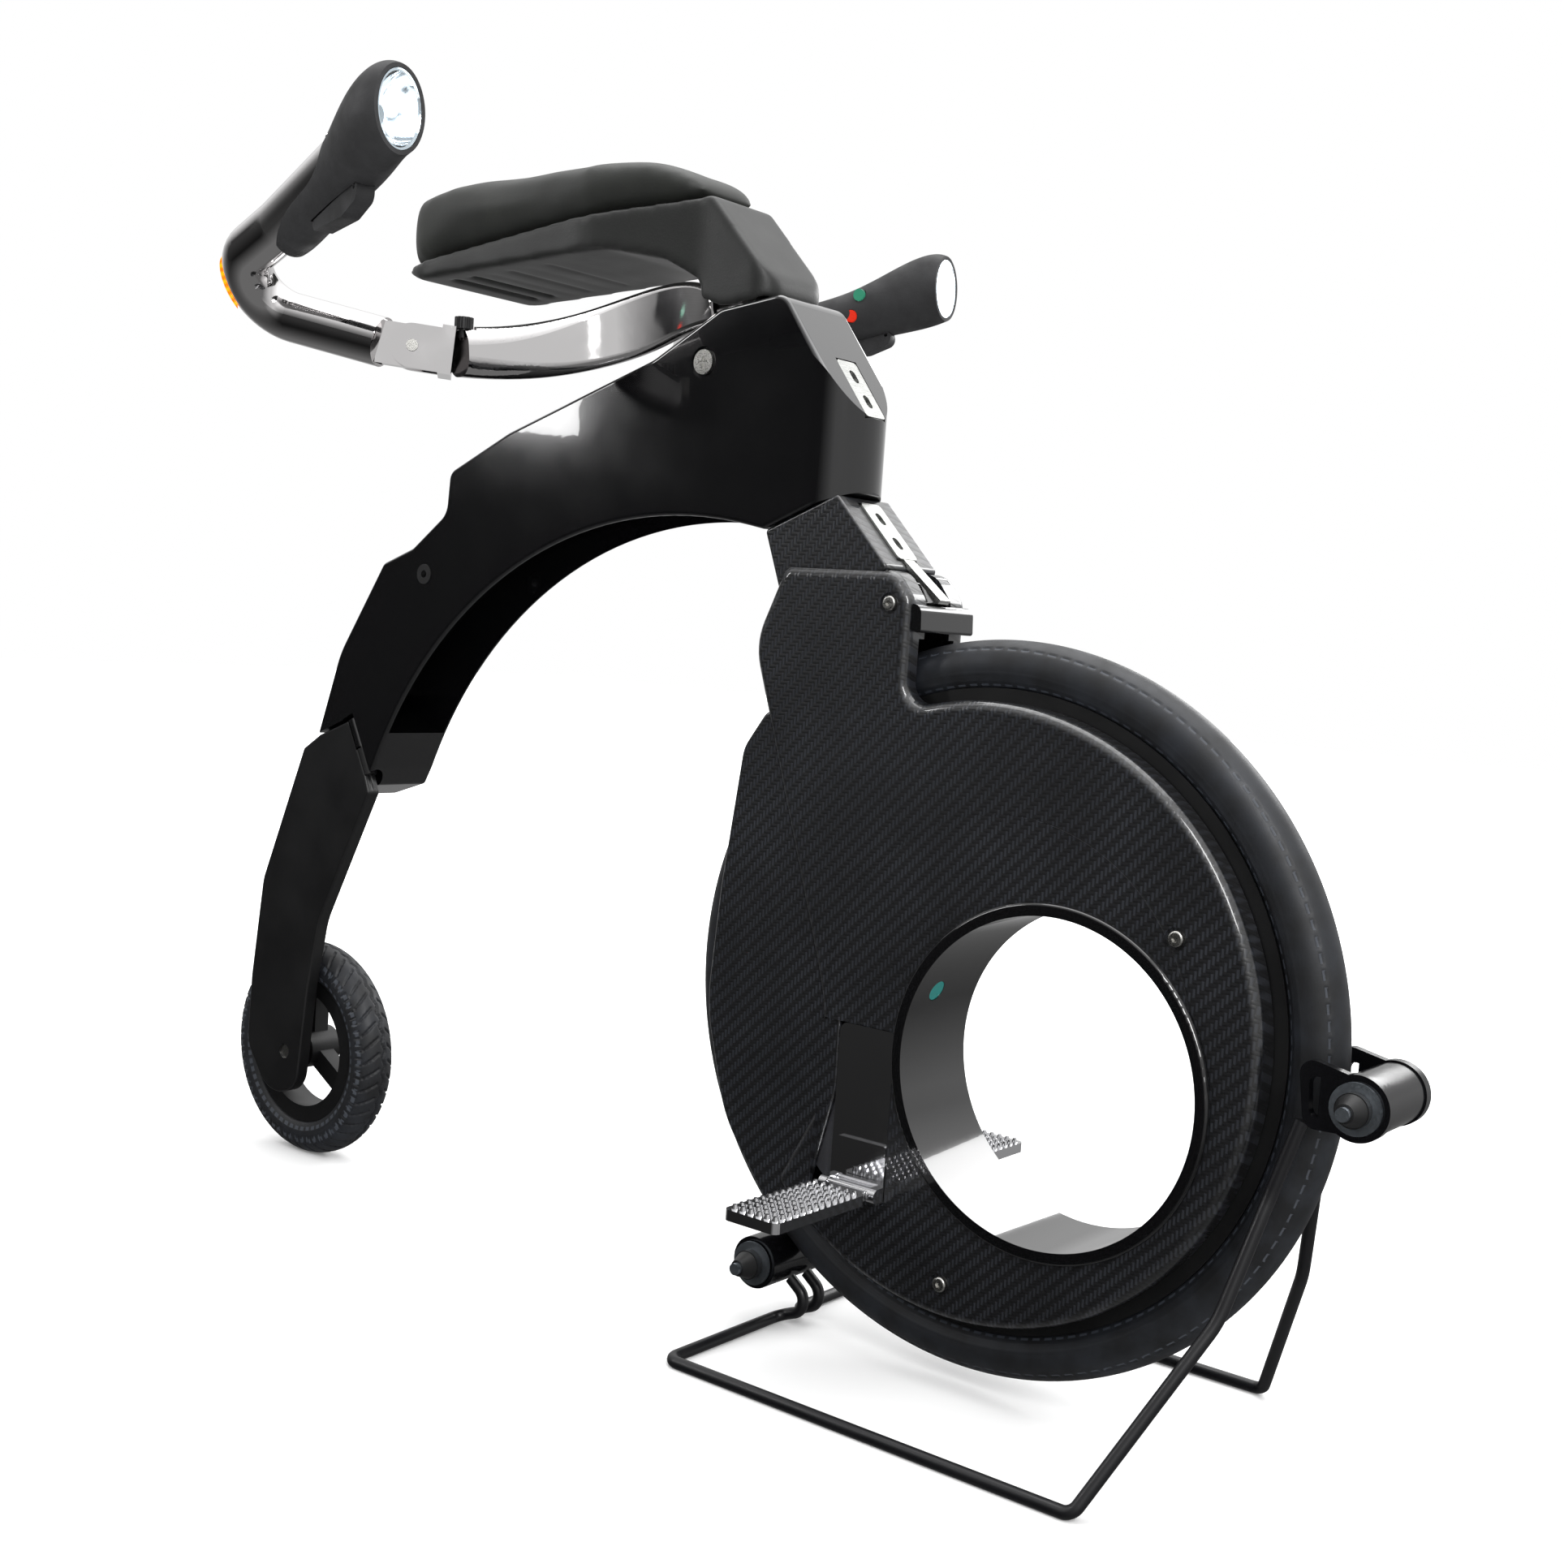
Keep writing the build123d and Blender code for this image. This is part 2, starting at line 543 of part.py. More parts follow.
COVER_SCREWS = [(140.0, 317.0), (-3.0, 71.0), (-80.0, 502.0)]
COVER_SCREW_R = 5.0
SCREW_SHANK_R = 2.6
CHEEK_FRONT = -64.0
CHEEK_TOP = 520.5
LATCH_WIDE = 22.0
PEG_X = (-95.5, -50.5)
PEG_SLOT_Z = (112.0, 226.0)
PEG_HINGE_Y = 41.0
PEG_HINGE_Z = 118.0
PEG_RECESS = outline([(-111, 226, 4), (PEG_X[1] + 0.3, 226, 4), (PEG_X[1] + 0.3, 111, 3), (-111, 111, 3)])


def cover_screws():
    screws = []
    for x, z in COVER_SCREWS:
        head = across(x, z, COVER_SCREW_R, -COVER_HALF - 1.4, -COVER_HALF + 1.4)
        head = fillet(face_edges(head, -COVER_HALF - 1.4), 1.6)
        head = head - slab(Pos(x, z) * RegularPolygon(2.2, 6), -COVER_HALF - 2, -COVER_HALF)
        screws.append(head + across(x, z, 2.5, -COVER_HALF + 1, -COVER_HALF + 8))
    return both(Compound(children=[s for screw in screws for s in screw.solids()]))


def rear_panels():
    """Second carbon shell behind each cover, running up beside the tyre as its guard."""
    face = outline([(-120, 440, 6), (-178, 424, 12), (-196, 398, 24), (-208, 300, 200), (-214, 215, 120),
                    (-192, 140, 90), (-146, 84, 8), (-118, 92, 0), (-96.5, 180, 60), (-98, 250, 200)])
    top = -COVER_HALF + PANEL_DROP
    body = slab(face, top, -19.5)
    body = fillet(face_edges(body, top), 2.4)
    body = body - slab(offset(face, -PANEL_WALL), top + PANEL_WALL, -10)
    body = body - front_ring(RIM_SEAT_R - 30, top + 2.5, 0)
    keep_clear = slab(outline([(-170, 110, 0), (-60, 60, 0), (-60, 460, 0), (-140, 460, 0)]), top + 2.5, 0)
    return both(body - keep_clear)


def hub_sleeve():
    """The hole's inner wall, with a rolled lip at each face."""
    wall = across(HOLE_X, HOLE_Z, HOLE_R + 3.8, -COVER_HALF, COVER_HALF)
    for side in (-1, 1):
        low, high = sorted((side * (COVER_HALF + STEP_RISE), side * (COVER_HALF + 4)))
        wall = wall + across(HOLE_X, HOLE_Z, HOLE_R + LIP_WIDE, low, high)
        low, high = sorted((side * COVER_HALF * 0.9, side * (COVER_HALF + 3)))
        wall = wall + across(HOLE_X, HOLE_Z, HOLE_R + 3.8, low, high)
    wall = fillet(face_edges(wall, -COVER_HALF - 4) + face_edges(wall, COVER_HALF + 4), 2.2)
    wall = wall - across(HOLE_X, HOLE_Z, HOLE_R, -60, 60)
    return wall - power_button_space(0.3, 3.0, 2.0)


POWER_ANGLE = 158.0
LIP_WIDE = 8.0              # rolled lip of the sleeve, beyond the hole
POWER_R = 7.0
POWER_SUNK = 0.2            # its face lies this far inside the opening's wall
SLEEVE_WALL = 3.6


def power_button_space(grow, deeper, proud):
    """Radial cylinder through the sleeve's wall, where the power button sits."""
    turn = math.radians(POWER_ANGLE)
    inward = Vector(-math.cos(turn), 0, -math.sin(turn))
    start = Vector(HOLE_X, -12, HOLE_Z) - inward * (HOLE_R + SLEEVE_WALL + deeper)
    return Plane(origin=start, z_dir=inward) * extrude(Circle(POWER_R + grow), amount=SLEEVE_WALL + deeper + proud)


def power_button():
    return power_button_space(0.0, 0.0, -POWER_SUNK)


HOOK = (-77.5, 519.2, 39.2, 45.0, 12.0)


def hook_bar(thick, more, lift):
    """The lower latch's tongue: a bar at an angle, from the latch plate into the crown block."""
    x, z, angle, long, wide = HOOK
    return Pos(x, 0, z) * Rot(0, angle, 0) * (Pos(0, 0, lift) * Box(long + more, wide + more, thick))


def crown_block():
    """Bridge between the cheeks that the lower latch hooks into."""
    side = outline([(-90, 517, 4), (-82, 518, 6), (-69, 503, 6), (-57, 502, 6), (-56, 484, 2), (-90, 490, 3)])
    inner = COVER_HALF - COVER_WALL - SEAT_FIT
    body = slab(side, -inner, inner)
    middle = CHEEK_FRONT - COVER_WALL / 2
    for y in (-COVER_HALF, COVER_HALF):
        body = body - Pos(middle, y, 500) * Box(COVER_WALL + 2 * SEAT_FIT, 2 * (COVER_HALF - COVER_INNER + GAP), 80)
    body = body - hook_bar(8.0, 2.0, 2.2)
    return body - across(*COVER_SCREWS[2], SCREW_SHANK_R, -60, 60)


def peg_mounts():
    """Chrome slide plate in each cover's recess, with the ears that carry the footpeg."""
    low, high = PEG_X
    plate = slab(outline([(low, 225, 6), (high, 225, 3), (high, 112, 2), (low, 112, 2)]), -COVER_HALF + 1.5, -COVER_HALF + 5.5)
    block = slab(outline([(low + 5, 150, 2), (high, 150, 2), (high, 112, 2), (low + 5, 112, 2)]), -COVER_HALF - 1.4, -COVER_HALF + 3)
    whole = plate + block
    for x in (low + 3, high - 3):
        ear = Pos(x, -(PEG_HINGE_Y + COVER_HALF) / 2, PEG_HINGE_Z) * Box(6, PEG_HINGE_Y - COVER_HALF + 3, 10)
        ear = ear + Pos(x, -PEG_HINGE_Y, PEG_HINGE_Z) * Rot(0, 90, 0) * Cylinder(5, 6)
        whole = whole + ear
    pin = Pos((low + high) / 2, -PEG_HINGE_Y, PEG_HINGE_Z) * Rot(0, 90, 0) * Cylinder(2.4, high - low)
    whole = whole + pin
    return both(whole)


def footpeg():
    """Knobbed chrome plate that folds up into its recess."""
    low, high = PEG_X[0] + 6.4, PEG_X[1] - 6.4
    barrel = Pos((low + high) / 2, -PEG_HINGE_Y, PEG_HINGE_Z) * Rot(0, 90, 0) * Cylinder(4.6, high - low)
    plate = Pos((low + high) / 2, -PEG_HINGE_Y - 6, PEG_HINGE_Z) * Box(high - low, 14, 6)
    wide = Pos((PEG_X[0] + PEG_X[1]) / 2, -PEG_HINGE_Y - 8 - PEG_LONG / 2 + 4, PEG_HINGE_Z) * Box(
        PEG_WIDE, PEG_LONG - 12, PEG_THICK)
    wide = fillet(wide.edges().filter_by(Axis.Z), 5)
    body = barrel + plate + wide
    return body - Pos((low + high) / 2, -PEG_HINGE_Y, PEG_HINGE_Z) * Rot(0, 90, 0) * Cylinder(2.4 + RUN, 60)


# ---------------------------------------------------------------- inside the covers
ROLLER_ANGLES = [20.0, -75.0]
DRIVE_ANGLE = 150.0
DRIVE_R = 30.0
STATOR_R = 22.0
PIN_R = 4.0
ROLLER_HALF = 9.0


def roller(angle):
    x, z = on_wheel(angle, RIM_TRACK_R - ROLLER_R - GAP)
    return across(x, z, ROLLER_R, -ROLLER_HALF, ROLLER_HALF) - across(x, z, PIN_R + RUN, -30, 30)


def roller_pins():
    half = COVER_HALF - COVER_WALL - SEAT_FIT
    pins = []
    for angle in ROLLER_ANGLES:
        x, z = on_wheel(angle, RIM_TRACK_R - ROLLER_R - GAP)
        pins.append(across(x, z, PIN_R, -half, half))
    return Compound(children=[s for p in pins for s in p.solids()])


def drive_rotor():
    x, z = on_wheel(DRIVE_ANGLE, RIM_TRACK_R - DRIVE_R - GAP)
    return across(x, z, DRIVE_R, -ROLLER_HALF, ROLLER_HALF) - across(x, z, STATOR_R + RUN, -30, 30)


def motor_stator():
    x, z = on_wheel(DRIVE_ANGLE, RIM_TRACK_R - DRIVE_R - GAP)
    half = COVER_HALF - PANEL_DROP - 3.0
    return across(x, z, STATOR_R, -ROLLER_HALF, ROLLER_HALF) + across(x, z, 9, -half, half)


def sector(low_angle, high_angle, low_r, high_r, half):
    """A block that follows the rim, between two angles and two radii."""
    corners = [on_wheel(low_angle, low_r), on_wheel(low_angle, high_r), on_wheel(high_angle, high_r),
               on_wheel(high_angle, low_r)]
    middle = (low_angle + high_angle) / 2
    line = [Line(corners[0], corners[1]), ThreePointArc(corners[1], on_wheel(middle, high_r), corners[2]),
            Line(corners[2], corners[3]), ThreePointArc(corners[3], on_wheel(middle, low_r), corners[0])]
    return slab(make_face(line), -half, half)


def battery_pack():
    return sector(170, 246, 112, 166, COVER_HALF - PANEL_DROP - PANEL_WALL - GAP)


def controller():
    return sector(100, 122, 126, 166, COVER_HALF - COVER_WALL - GAP)


# ---------------------------------------------------------------- latches
UPPER_LATCH = (-140.6, 643.4, 53.0, 48.0, 22.0)
LOWER_LATCH = (-109.0, 549.0, 46.0, 50.0, 22.0)
LATCH_THICK = 3.0
LATCH_PIVOT = 2.0           # pivot from a latch's upper end


def latch_plate(place):
    """A slotted strap on the head's front, hinged at its upper end."""
    x, z, angle, long, wide = place
    plate = Box(long, wide, LATCH_THICK)
    plate = fillet(plate.edges().filter_by(Axis.Z), 3)
    for middle in (-long * 0.22, long * 0.22):
        plate = plate - Pos(middle, 0, 0) * extrude(SlotOverall(11, 6), amount=10, both=True)
    return Pos(x, 0, z) * Rot(0, angle, 0) * plate


def lower_latch():
    """The strap that pulls the crown block up to the fork head, with its hooked tongue."""
    return latch_plate(LOWER_LATCH) + hook_bar(LATCH_THICK, 0, 0)


def latch_space(place):
    """The recess a latch lies in, with room for its upper end to turn."""
    x, z, angle, long, wide = place
    pocket = Pos(0, 0, 3) * Box(long + 1.4, wide + 1.0, 9.4)
    turn = Pos(-long / 2 + LATCH_PIVOT, 0, 0) * Rot(90, 0, 0) * Cylinder(3.2, wide + 1.0)
    return Pos(x, 0, z) * Rot(0, angle, 0) * (pocket + turn)


# ---------------------------------------------------------------- rear fork and wheel
SEAM_TOP = Vector(-613.0, 0, 383.0)
SEAM_LOW = Vector(-588.0, 0, 337.0)
LEG_HINGE_Y = -(LEG_FACE - LEG_THICK / 2)
LEG_HINGE_R = 5.2
LEG_PIN_R = 2.5
LEG_SWEEP_R = 9.4
LEG_AXIS = Plane(origin=(SEAM_LOW.X, LEG_HINGE_Y, SEAM_LOW.Z), x_dir=(0, 1, 0), z_dir=(SEAM_TOP - SEAM_LOW).normalized())
LEG_HINGE_LONG = (SEAM_TOP - SEAM_LOW).length


def on_seam(radius, low, high):
    """A round bar on the rear fork's hinge line, low and high as shares of its length."""
    long = LEG_HINGE_LONG * (high - low)
    return LEG_AXIS * (Pos(0, 0, LEG_HINGE_LONG * low) * Cylinder(radius, long, align=(Align.CENTER, Align.CENTER, Align.MIN)))


def leg_face():
    """The leg's side: its upper end stays at the frame, its lower part follows the rear axle."""
    return outline([(-613, 381, 3), (-650, 366, 2), (-670, 353, 4), (REAR_X - 40, 236, 40), (REAR_X - 50, 150, 30),
                    (REAR_X - 52, 90, 30), (REAR_X - 20, 50, 30), (REAR_X + 17, 62, 22), (REAR_X + 26, 150, 60),
                    (REAR_X + 37, 210, 60), (-584, 324, 4), (-590, 338, 0)])


def leg_space():
    low = -LEG_FACE + LEG_THICK + 0.6
    face = outline([(-612.5, 383.5, 3), (-660, 363.5, 0), (-760, 330, 0), (-760, 280, 0), (-560, 280, 0), (-584, 330, 0)])
    return slab(face, -60, low) + on_seam(LEG_SWEEP_R, -0.4, 1.03)


def frame_knuckle():
    """Upper half of the rear hinge, on the frame."""
    barrel = on_seam(LEG_HINGE_R, 0.5, 0.97)
    web = LEG_AXIS * (Pos(0, -8, LEG_HINGE_LONG * 0.735) * Box(7, 16, LEG_HINGE_LONG * 0.47))
    return barrel, web


def rear_fork():
    body = slab(leg_face(), -LEG_FACE, -LEG_FACE + LEG_THICK)
    body = fillet(face_edges(body, -LEG_FACE), 2.0)
    body = body - on_seam(LEG_HINGE_R + 0.6, 0.47, 1.2)
    body = body + on_seam(LEG_HINGE_R, 0.03, 0.47)
    body = body - on_seam(LEG_PIN_R + RUN, -0.5, 1.5)
    return body - across(REAR_X, REAR_Z, REAR_AXLE_R + SEAT_FIT / 2, -50, 50)


def fork_pivot_pin():
    return on_seam(LEG_PIN_R, 0.05, 0.95)


def rear_axle():
    bolt = across(REAR_X, REAR_Z, REAR_AXLE_R, -LEG_FACE + 1.5, 17)
    shoulder = across(REAR_X, REAR_Z, REAR_AXLE_R + 3, -LEG_FACE + LEG_THICK + 0.1, -17.3)
    return bolt + shoulder + across(REAR_X, REAR_Z, REAR_AXLE_R + 3, 15.5, 19)


def rear_tyre():
    middle = REAR_TYRE_R - REAR_TUBE_R
    tyre = torus_at(REAR_X, REAR_Z, middle, REAR_TUBE_R) - torus_at(REAR_X, REAR_Z, middle, REAR_TUBE_R - REAR_TYRE_WALL)
    return tyre - across(REAR_X, REAR_Z, REAR_SEAT_R, -30, 30)


REAR_SEAT_R = 64.0
REAR_SPOKES = 3
REAR_TYRE_WALL = 3.5


def rear_rim():
    rim = across(REAR_X, REAR_Z, REAR_SEAT_R - SEAT_FIT, -13, 13) - across(REAR_X, REAR_Z, 50, -30, 30)
    hub = across(REAR_X, REAR_Z, 17, -15, 15)
    for i in range(REAR_SPOKES):
        turn = 30 + 360 / REAR_SPOKES * i
        spoke = Pos(REAR_X, 0, REAR_Z) * Rot(0, turn, 0) * (Pos(33, 0, 0) * Box(40, 14, 17))
        rim = rim + spoke
    return rim + hub - across(REAR_X, REAR_Z, REAR_AXLE_R + RUN, -30, 30)


# ---------------------------------------------------------------- display stand
def yoke_bar(place):
    x, z = place
    bar = across(x, z, STAND_ROLLER_R, -STAND_ROLLER_HALF, STAND_ROLLER_HALF)
    return bar - across(x, z, STAND_ROD_R + SEAT_FIT / 2, -50, 50)


STAND_ROD_R = 4.0
STRAP_THICK = 6.0


def stand_front_yoke():
    x, z = FRONT_ROLLER
    frame = outline([(x - 36, z + 24, 8), (x + 2, z + 16, 8), (x + 12, z, 0), (x, z - 16, 8), (x - 30, z - 17, 8)])
    window = outline([(x - 29, z + 15, 5), (x - 22, z + 13, 0), (x - 22, z - 10, 0), (x - 27, z - 10, 5)])
    strap = slab(frame, -STAND_ROLLER_HALF, -STAND_ROLLER_HALF + STRAP_THICK) - slab(window, -60, 60)
    strap = strap + across(x, z, STAND_BOSS_R, -STAND_ROLLER_HALF - 1, -STAND_ROLLER_HALF + STRAP_THICK)
    bar = across(x, z, STAND_ROLLER_R, -STAND_ROLLER_HALF + 1, STAND_ROLLER_HALF - 1)
    return bar + strap + mirrored(strap) - across(x, z, STAND_ROD_R + SEAT_FIT / 2, -50, 50)


def stand_rear_yoke():
    return yoke_bar(REAR_ROLLER)


def stand_wire():
    """One side of the bent wire base: front leg, floor rail, rear rail and the loop up to the rear yoke."""
    low = STAND_WIRE_R
    x, z = FRONT_ROLLER
    rx, rz = REAR_ROLLER
    route = [(x - 32, -28, z - 14), (x - 44, -34, z - 60), (198, -60, 110), (STAND_FRONT_X, -STAND_HALF, low),
             (STAND_REAR_X, -STAND_HALF, low), (STAND_REAR_X, -9, low), (STAND_REAR_X + 30, -9, 16),
             (rx + 16, -9, rz - 12)]
    line = FilletPolyline(*route, radius=[40, 60, 9, 9, 9, 10])
    return sweep(Plane(origin=line @ 0, z_dir=line % 0) * Circle(low), path=line)


def stand_hardware():
    """Rods through the yokes, with a washer and a tapered nut on each end."""
    pieces = []
    for x, z in (FRONT_ROLLER, REAR_ROLLER):
        pieces.append(across(x, z, STAND_ROD_R, -STAND_ROLLER_HALF - 22, STAND_ROLLER_HALF + 22))
        washer = across(x, z, 15, -STAND_ROLLER_HALF - 3.4, -STAND_ROLLER_HALF - 1.2)
        washer = washer - across(x, z, STAND_ROD_R + SEAT_FIT / 2, -60, 0)
        pieces += [washer, mirrored(washer)]
    return Compound(children=[s for p in pieces for s in p.solids()])


def stand_nuts():
    pieces = []
    for x, z in (FRONT_ROLLER, REAR_ROLLER):
        start = Plane(origin=(x, -STAND_ROLLER_HALF - 3.6, z), z_dir=(0, -1, 0))
        nut = start * (extrude(Circle(10), amount=5)) + loft([start * (Pos(0, 0, 5) * Circle(9.5)),
                                                              start * (Pos(0, 0, 15) * Circle(5.5))])
        nut = nut - across(x, z, STAND_ROD_R + SEAT_FIT / 2, -80, 0)
        pieces += [nut, mirrored(nut)]
    return Compound(children=[s for p in pieces for s in p.solids()])


# ---------------------------------------------------------------- write every node
NODES = {
    "frame_shell": frame_shell, "frame_screws": frame_screws, "frame_inserts": frame_inserts,
    "head_bearings": head_bearings, "seat_pad": seat_pad, "seat_base": seat_base,
    "upper_latch": lambda: latch_plate(UPPER_LATCH), "steerer_tube": steerer_tube, "fork_head": fork_head,
    "fold_pin": fold_pin, "handlebar_yoke": handlebar_yoke, "bar_hinge_pins": bar_hinge_pins,
    "lower_latch": lower_latch,
    "front_tyre": front_tyre, "front_rim": front_rim, "cover_right": cover_right,
    "cover_left": lambda: mirrored(cover_right()), "rear_panels": rear_panels, "hub_sleeve": hub_sleeve,
    "crown_block": crown_block, "cover_screws": cover_screws, "power_button": power_button,
    "peg_mounts": peg_mounts, "footpeg_right": footpeg, "footpeg_left": lambda: mirrored(footpeg()),
    "roller_pins": roller_pins, "drive_rotor": drive_rotor, "motor_stator": motor_stator,
    "battery_pack": battery_pack, "controller": controller,
    "rear_fork": rear_fork, "fork_pivot_pin": fork_pivot_pin, "rear_axle": rear_axle,
    "rear_tyre": rear_tyre, "rear_rim": rear_rim,
    "stand_front_yoke": stand_front_yoke, "stand_rear_yoke": stand_rear_yoke,
    "stand_wires": lambda: both(stand_wire()),
    "stand_rods": stand_hardware, "stand_nuts": stand_nuts,
}
for number, angle in enumerate(ROLLER_ANGLES, start=1):
    NODES[f"guide_roller_{number}"] = lambda a=angle: roller(a)
SIDED = {"bar_tube": bar_tube, "grip": grip, "reflector": reflector, "lamp_lens": lamp_lens,
         "indicator": indicator, "trigger": trigger, "lock_knob": knob,
         "button_upper": lambda: button_shape(BUTTONS[0], 0.0, 0.0),
         "button_lower": lambda: button_shape(BUTTONS[1], 0.0, 0.0)}
for name, make in SIDED.items():
    NODES[f"{name}_right"] = make
    NODES[f"{name}_left"] = lambda m=make: mirrored(m())

for name, make in NODES.items():
    put(name, make())
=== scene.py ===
"""Looks of the folding mini-farthing bicycle: finishes of the built parts, tyres, saddle and grips."""

import json
import math

import bmesh
import bpy
from mathutils import Matrix, Vector
from mathutils.bvhtree import BVHTree


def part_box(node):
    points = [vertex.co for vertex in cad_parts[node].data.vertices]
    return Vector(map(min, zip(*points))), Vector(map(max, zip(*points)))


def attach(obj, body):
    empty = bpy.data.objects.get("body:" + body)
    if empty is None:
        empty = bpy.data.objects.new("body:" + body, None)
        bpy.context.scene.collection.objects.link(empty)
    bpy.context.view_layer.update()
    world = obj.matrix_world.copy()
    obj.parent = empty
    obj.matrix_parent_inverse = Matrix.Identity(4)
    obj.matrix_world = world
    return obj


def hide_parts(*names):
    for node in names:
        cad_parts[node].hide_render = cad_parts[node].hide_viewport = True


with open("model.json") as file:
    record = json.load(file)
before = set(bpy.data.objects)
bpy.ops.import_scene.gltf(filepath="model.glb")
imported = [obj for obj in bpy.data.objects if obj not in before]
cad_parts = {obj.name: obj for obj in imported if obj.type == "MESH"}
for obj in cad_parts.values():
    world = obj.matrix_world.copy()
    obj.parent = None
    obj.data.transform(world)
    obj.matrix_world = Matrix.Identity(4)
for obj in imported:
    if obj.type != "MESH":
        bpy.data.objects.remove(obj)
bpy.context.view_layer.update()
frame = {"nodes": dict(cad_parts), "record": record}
NODES = frame["nodes"]
MM = 0.001


# ---------------------------------------------------------------- places taken from the frame
def middle(node):
    low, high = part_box(node)
    return (low + high) / 2


FRONT_AXLE = middle("front_rim")
REAR_AXLE = middle("rear_rim")
FRONT_R = (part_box("front_tyre")[1].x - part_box("front_tyre")[0].x) / 2
REAR_R = (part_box("rear_tyre")[1].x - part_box("rear_tyre")[0].x) / 2


# ---------------------------------------------------------------- material tools
def linear(hex_colour, alpha=1.0):
    """A colour written as sRGB hex, turned into the linear values that shaders use."""
    channels = [int(hex_colour[i:i + 2], 16) / 255 for i in (1, 3, 5)]
    return tuple(c / 12.92 if c <= 0.04045 else ((c + 0.055) / 1.055) ** 2.4 for c in channels) + (alpha,)


def add(tree, kind, settings=None, links=None):
    """Add one node; settings go to its inputs or its own options, links join its inputs to other outputs."""
    made = tree.nodes.new(kind)
    for key, value in (settings or {}).items():
        if isinstance(key, int) or key in made.inputs:
            made.inputs[key].default_value = value
        else:
            setattr(made, key, value)
    for key, output in (links or {}).items():
        tree.links.new(output, made.inputs[key])
    return made


def start_material(name, colour, roughness, metallic=0.0, **more):
    """A material with its main shader; more holds other sockets of that shader by name."""
    made = bpy.data.materials.new(name)
    made.use_nodes = True
    tree = made.node_tree
    shader = tree.nodes["Principled BSDF"]
    shader.inputs["Base Color"].default_value = linear(colour)
    shader.inputs["Roughness"].default_value = roughness
    shader.inputs["Metallic"].default_value = metallic
    for socket, value in more.items():
        shader.inputs[socket.replace("_", " ")].default_value = value
    return made, tree, shader


def where(tree):
    """Object coordinates in millimetres, whole and as separate X, Y and Z."""
    coords = add(tree, "ShaderNodeTexCoord")
    scaled = add(tree, "ShaderNodeVectorMath", {"operation": "SCALE", "Scale": 1 / MM},
                 {0: coords.outputs["Object"]})
    parts = add(tree, "ShaderNodeSeparateXYZ", links={0: scaled.outputs[0]})
    return scaled.outputs[0], parts.outputs


def maths(tree, operation, first, second=None):
    """One step of arithmetic; first and second are outputs or plain numbers."""
    made = add(tree, "ShaderNodeMath", {"operation": operation})
    for i, value in enumerate((first, second)):
        if value is None:
            continue
        if isinstance(value, (int, float)):
            made.inputs[i].default_value = value
        else:
            tree.links.new(value, made.inputs[i])
    return made.outputs[0]


def noise(tree, place, grain_mm, detail=3.0):
    """Noise whose blobs are about grain_mm across."""
    made = add(tree, "ShaderNodeTexNoise", {"Scale": 1.0 / grain_mm, "Detail": detail}, {"Vector": place})
    return made.outputs["Fac"]


def blend_colour(tree, factor, low, high):
    made = add(tree, "ShaderNodeMix", {"data_type": "RGBA"}, {0: factor})
    made.inputs[6].default_value = linear(low)
    made.inputs[7].default_value = linear(high)
    return made.outputs[2]


def ramp(tree, factor, low, high, at_low=0.0, at_high=1.0):
    """Spread a value between two others."""
    made = add(tree, "ShaderNodeMapRange",
               {"From Min": at_low, "From Max": at_high, "To Min": low, "To Max": high}, {"Value": factor})
    return made.outputs[0]


def bump(tree, shader, height, depth_mm, socket="Normal"):
    made = add(tree, "ShaderNodeBump", {"Strength": 1.0, "Distance": depth_mm * MM}, {"Height": height})
    tree.links.new(made.outputs[0], shader.inputs[socket])


# ---------------------------------------------------------------- finishes
TOW_MM = 2.6        # width of one flat carbon tow; drawn a little coarse so that the twill shows


def carbon_twill():
    """2x2 carbon twill under clear coat: dark diagonal ribs that go in and out, drawn as a painted sheen that
    lightens each tow along its crown and where it lies on top; a sharp wet gloss on top.
    """
    made, tree, shader = start_material("carbon_twill_clearcoat", "#101113", 0.34,
                                        Coat_Weight=1.0, Coat_Roughness=0.03)
    place, (x, y, z) = where(tree)
    across = maths(tree, "DIVIDE", x, TOW_MM)
    up = maths(tree, "DIVIDE", maths(tree, "ADD", z, maths(tree, "MULTIPLY", y, 0.35)), TOW_MM)
    step = maths(tree, "SUBTRACT", maths(tree, "FLOOR", across), maths(tree, "FLOOR", up))
    over = maths(tree, "LESS_THAN", maths(tree, "FRACT", maths(tree, "MULTIPLY", step, 0.25)), 0.5)
    warp = maths(tree, "SINE", maths(tree, "MULTIPLY", maths(tree, "FRACT", across), math.pi))
    weft = maths(tree, "SINE", maths(tree, "MULTIPLY", maths(tree, "FRACT", up), math.pi))
    crown = add(tree, "ShaderNodeMix", {"data_type": "FLOAT"}, {0: over, 2: weft, 3: warp}).outputs[0]
    patch = noise(tree, place, 60.0, 2.0)
    # painted sheen: each tow is lighter along its crown and lighter still where it lies on top, standing in
    # for the glint its fibres catch; the patch noise only varies the tone at random
    painted_tow_sheen = maths(tree, "MULTIPLY", maths(tree, "ADD", maths(tree, "MULTIPLY", over, 0.75), 0.2), crown)
    painted_sheen_and_tone = maths(tree, "MULTIPLY", painted_tow_sheen, ramp(tree, patch, 0.6, 1.0, 0.3, 0.7))
    tree.links.new(blend_colour(tree, painted_sheen_and_tone, "#060607", "#292b30"), shader.inputs["Base Color"])
    tree.links.new(ramp(tree, over, 0.42, 0.3), shader.inputs["Roughness"])
    bump(tree, shader, crown, 0.10)
    return made


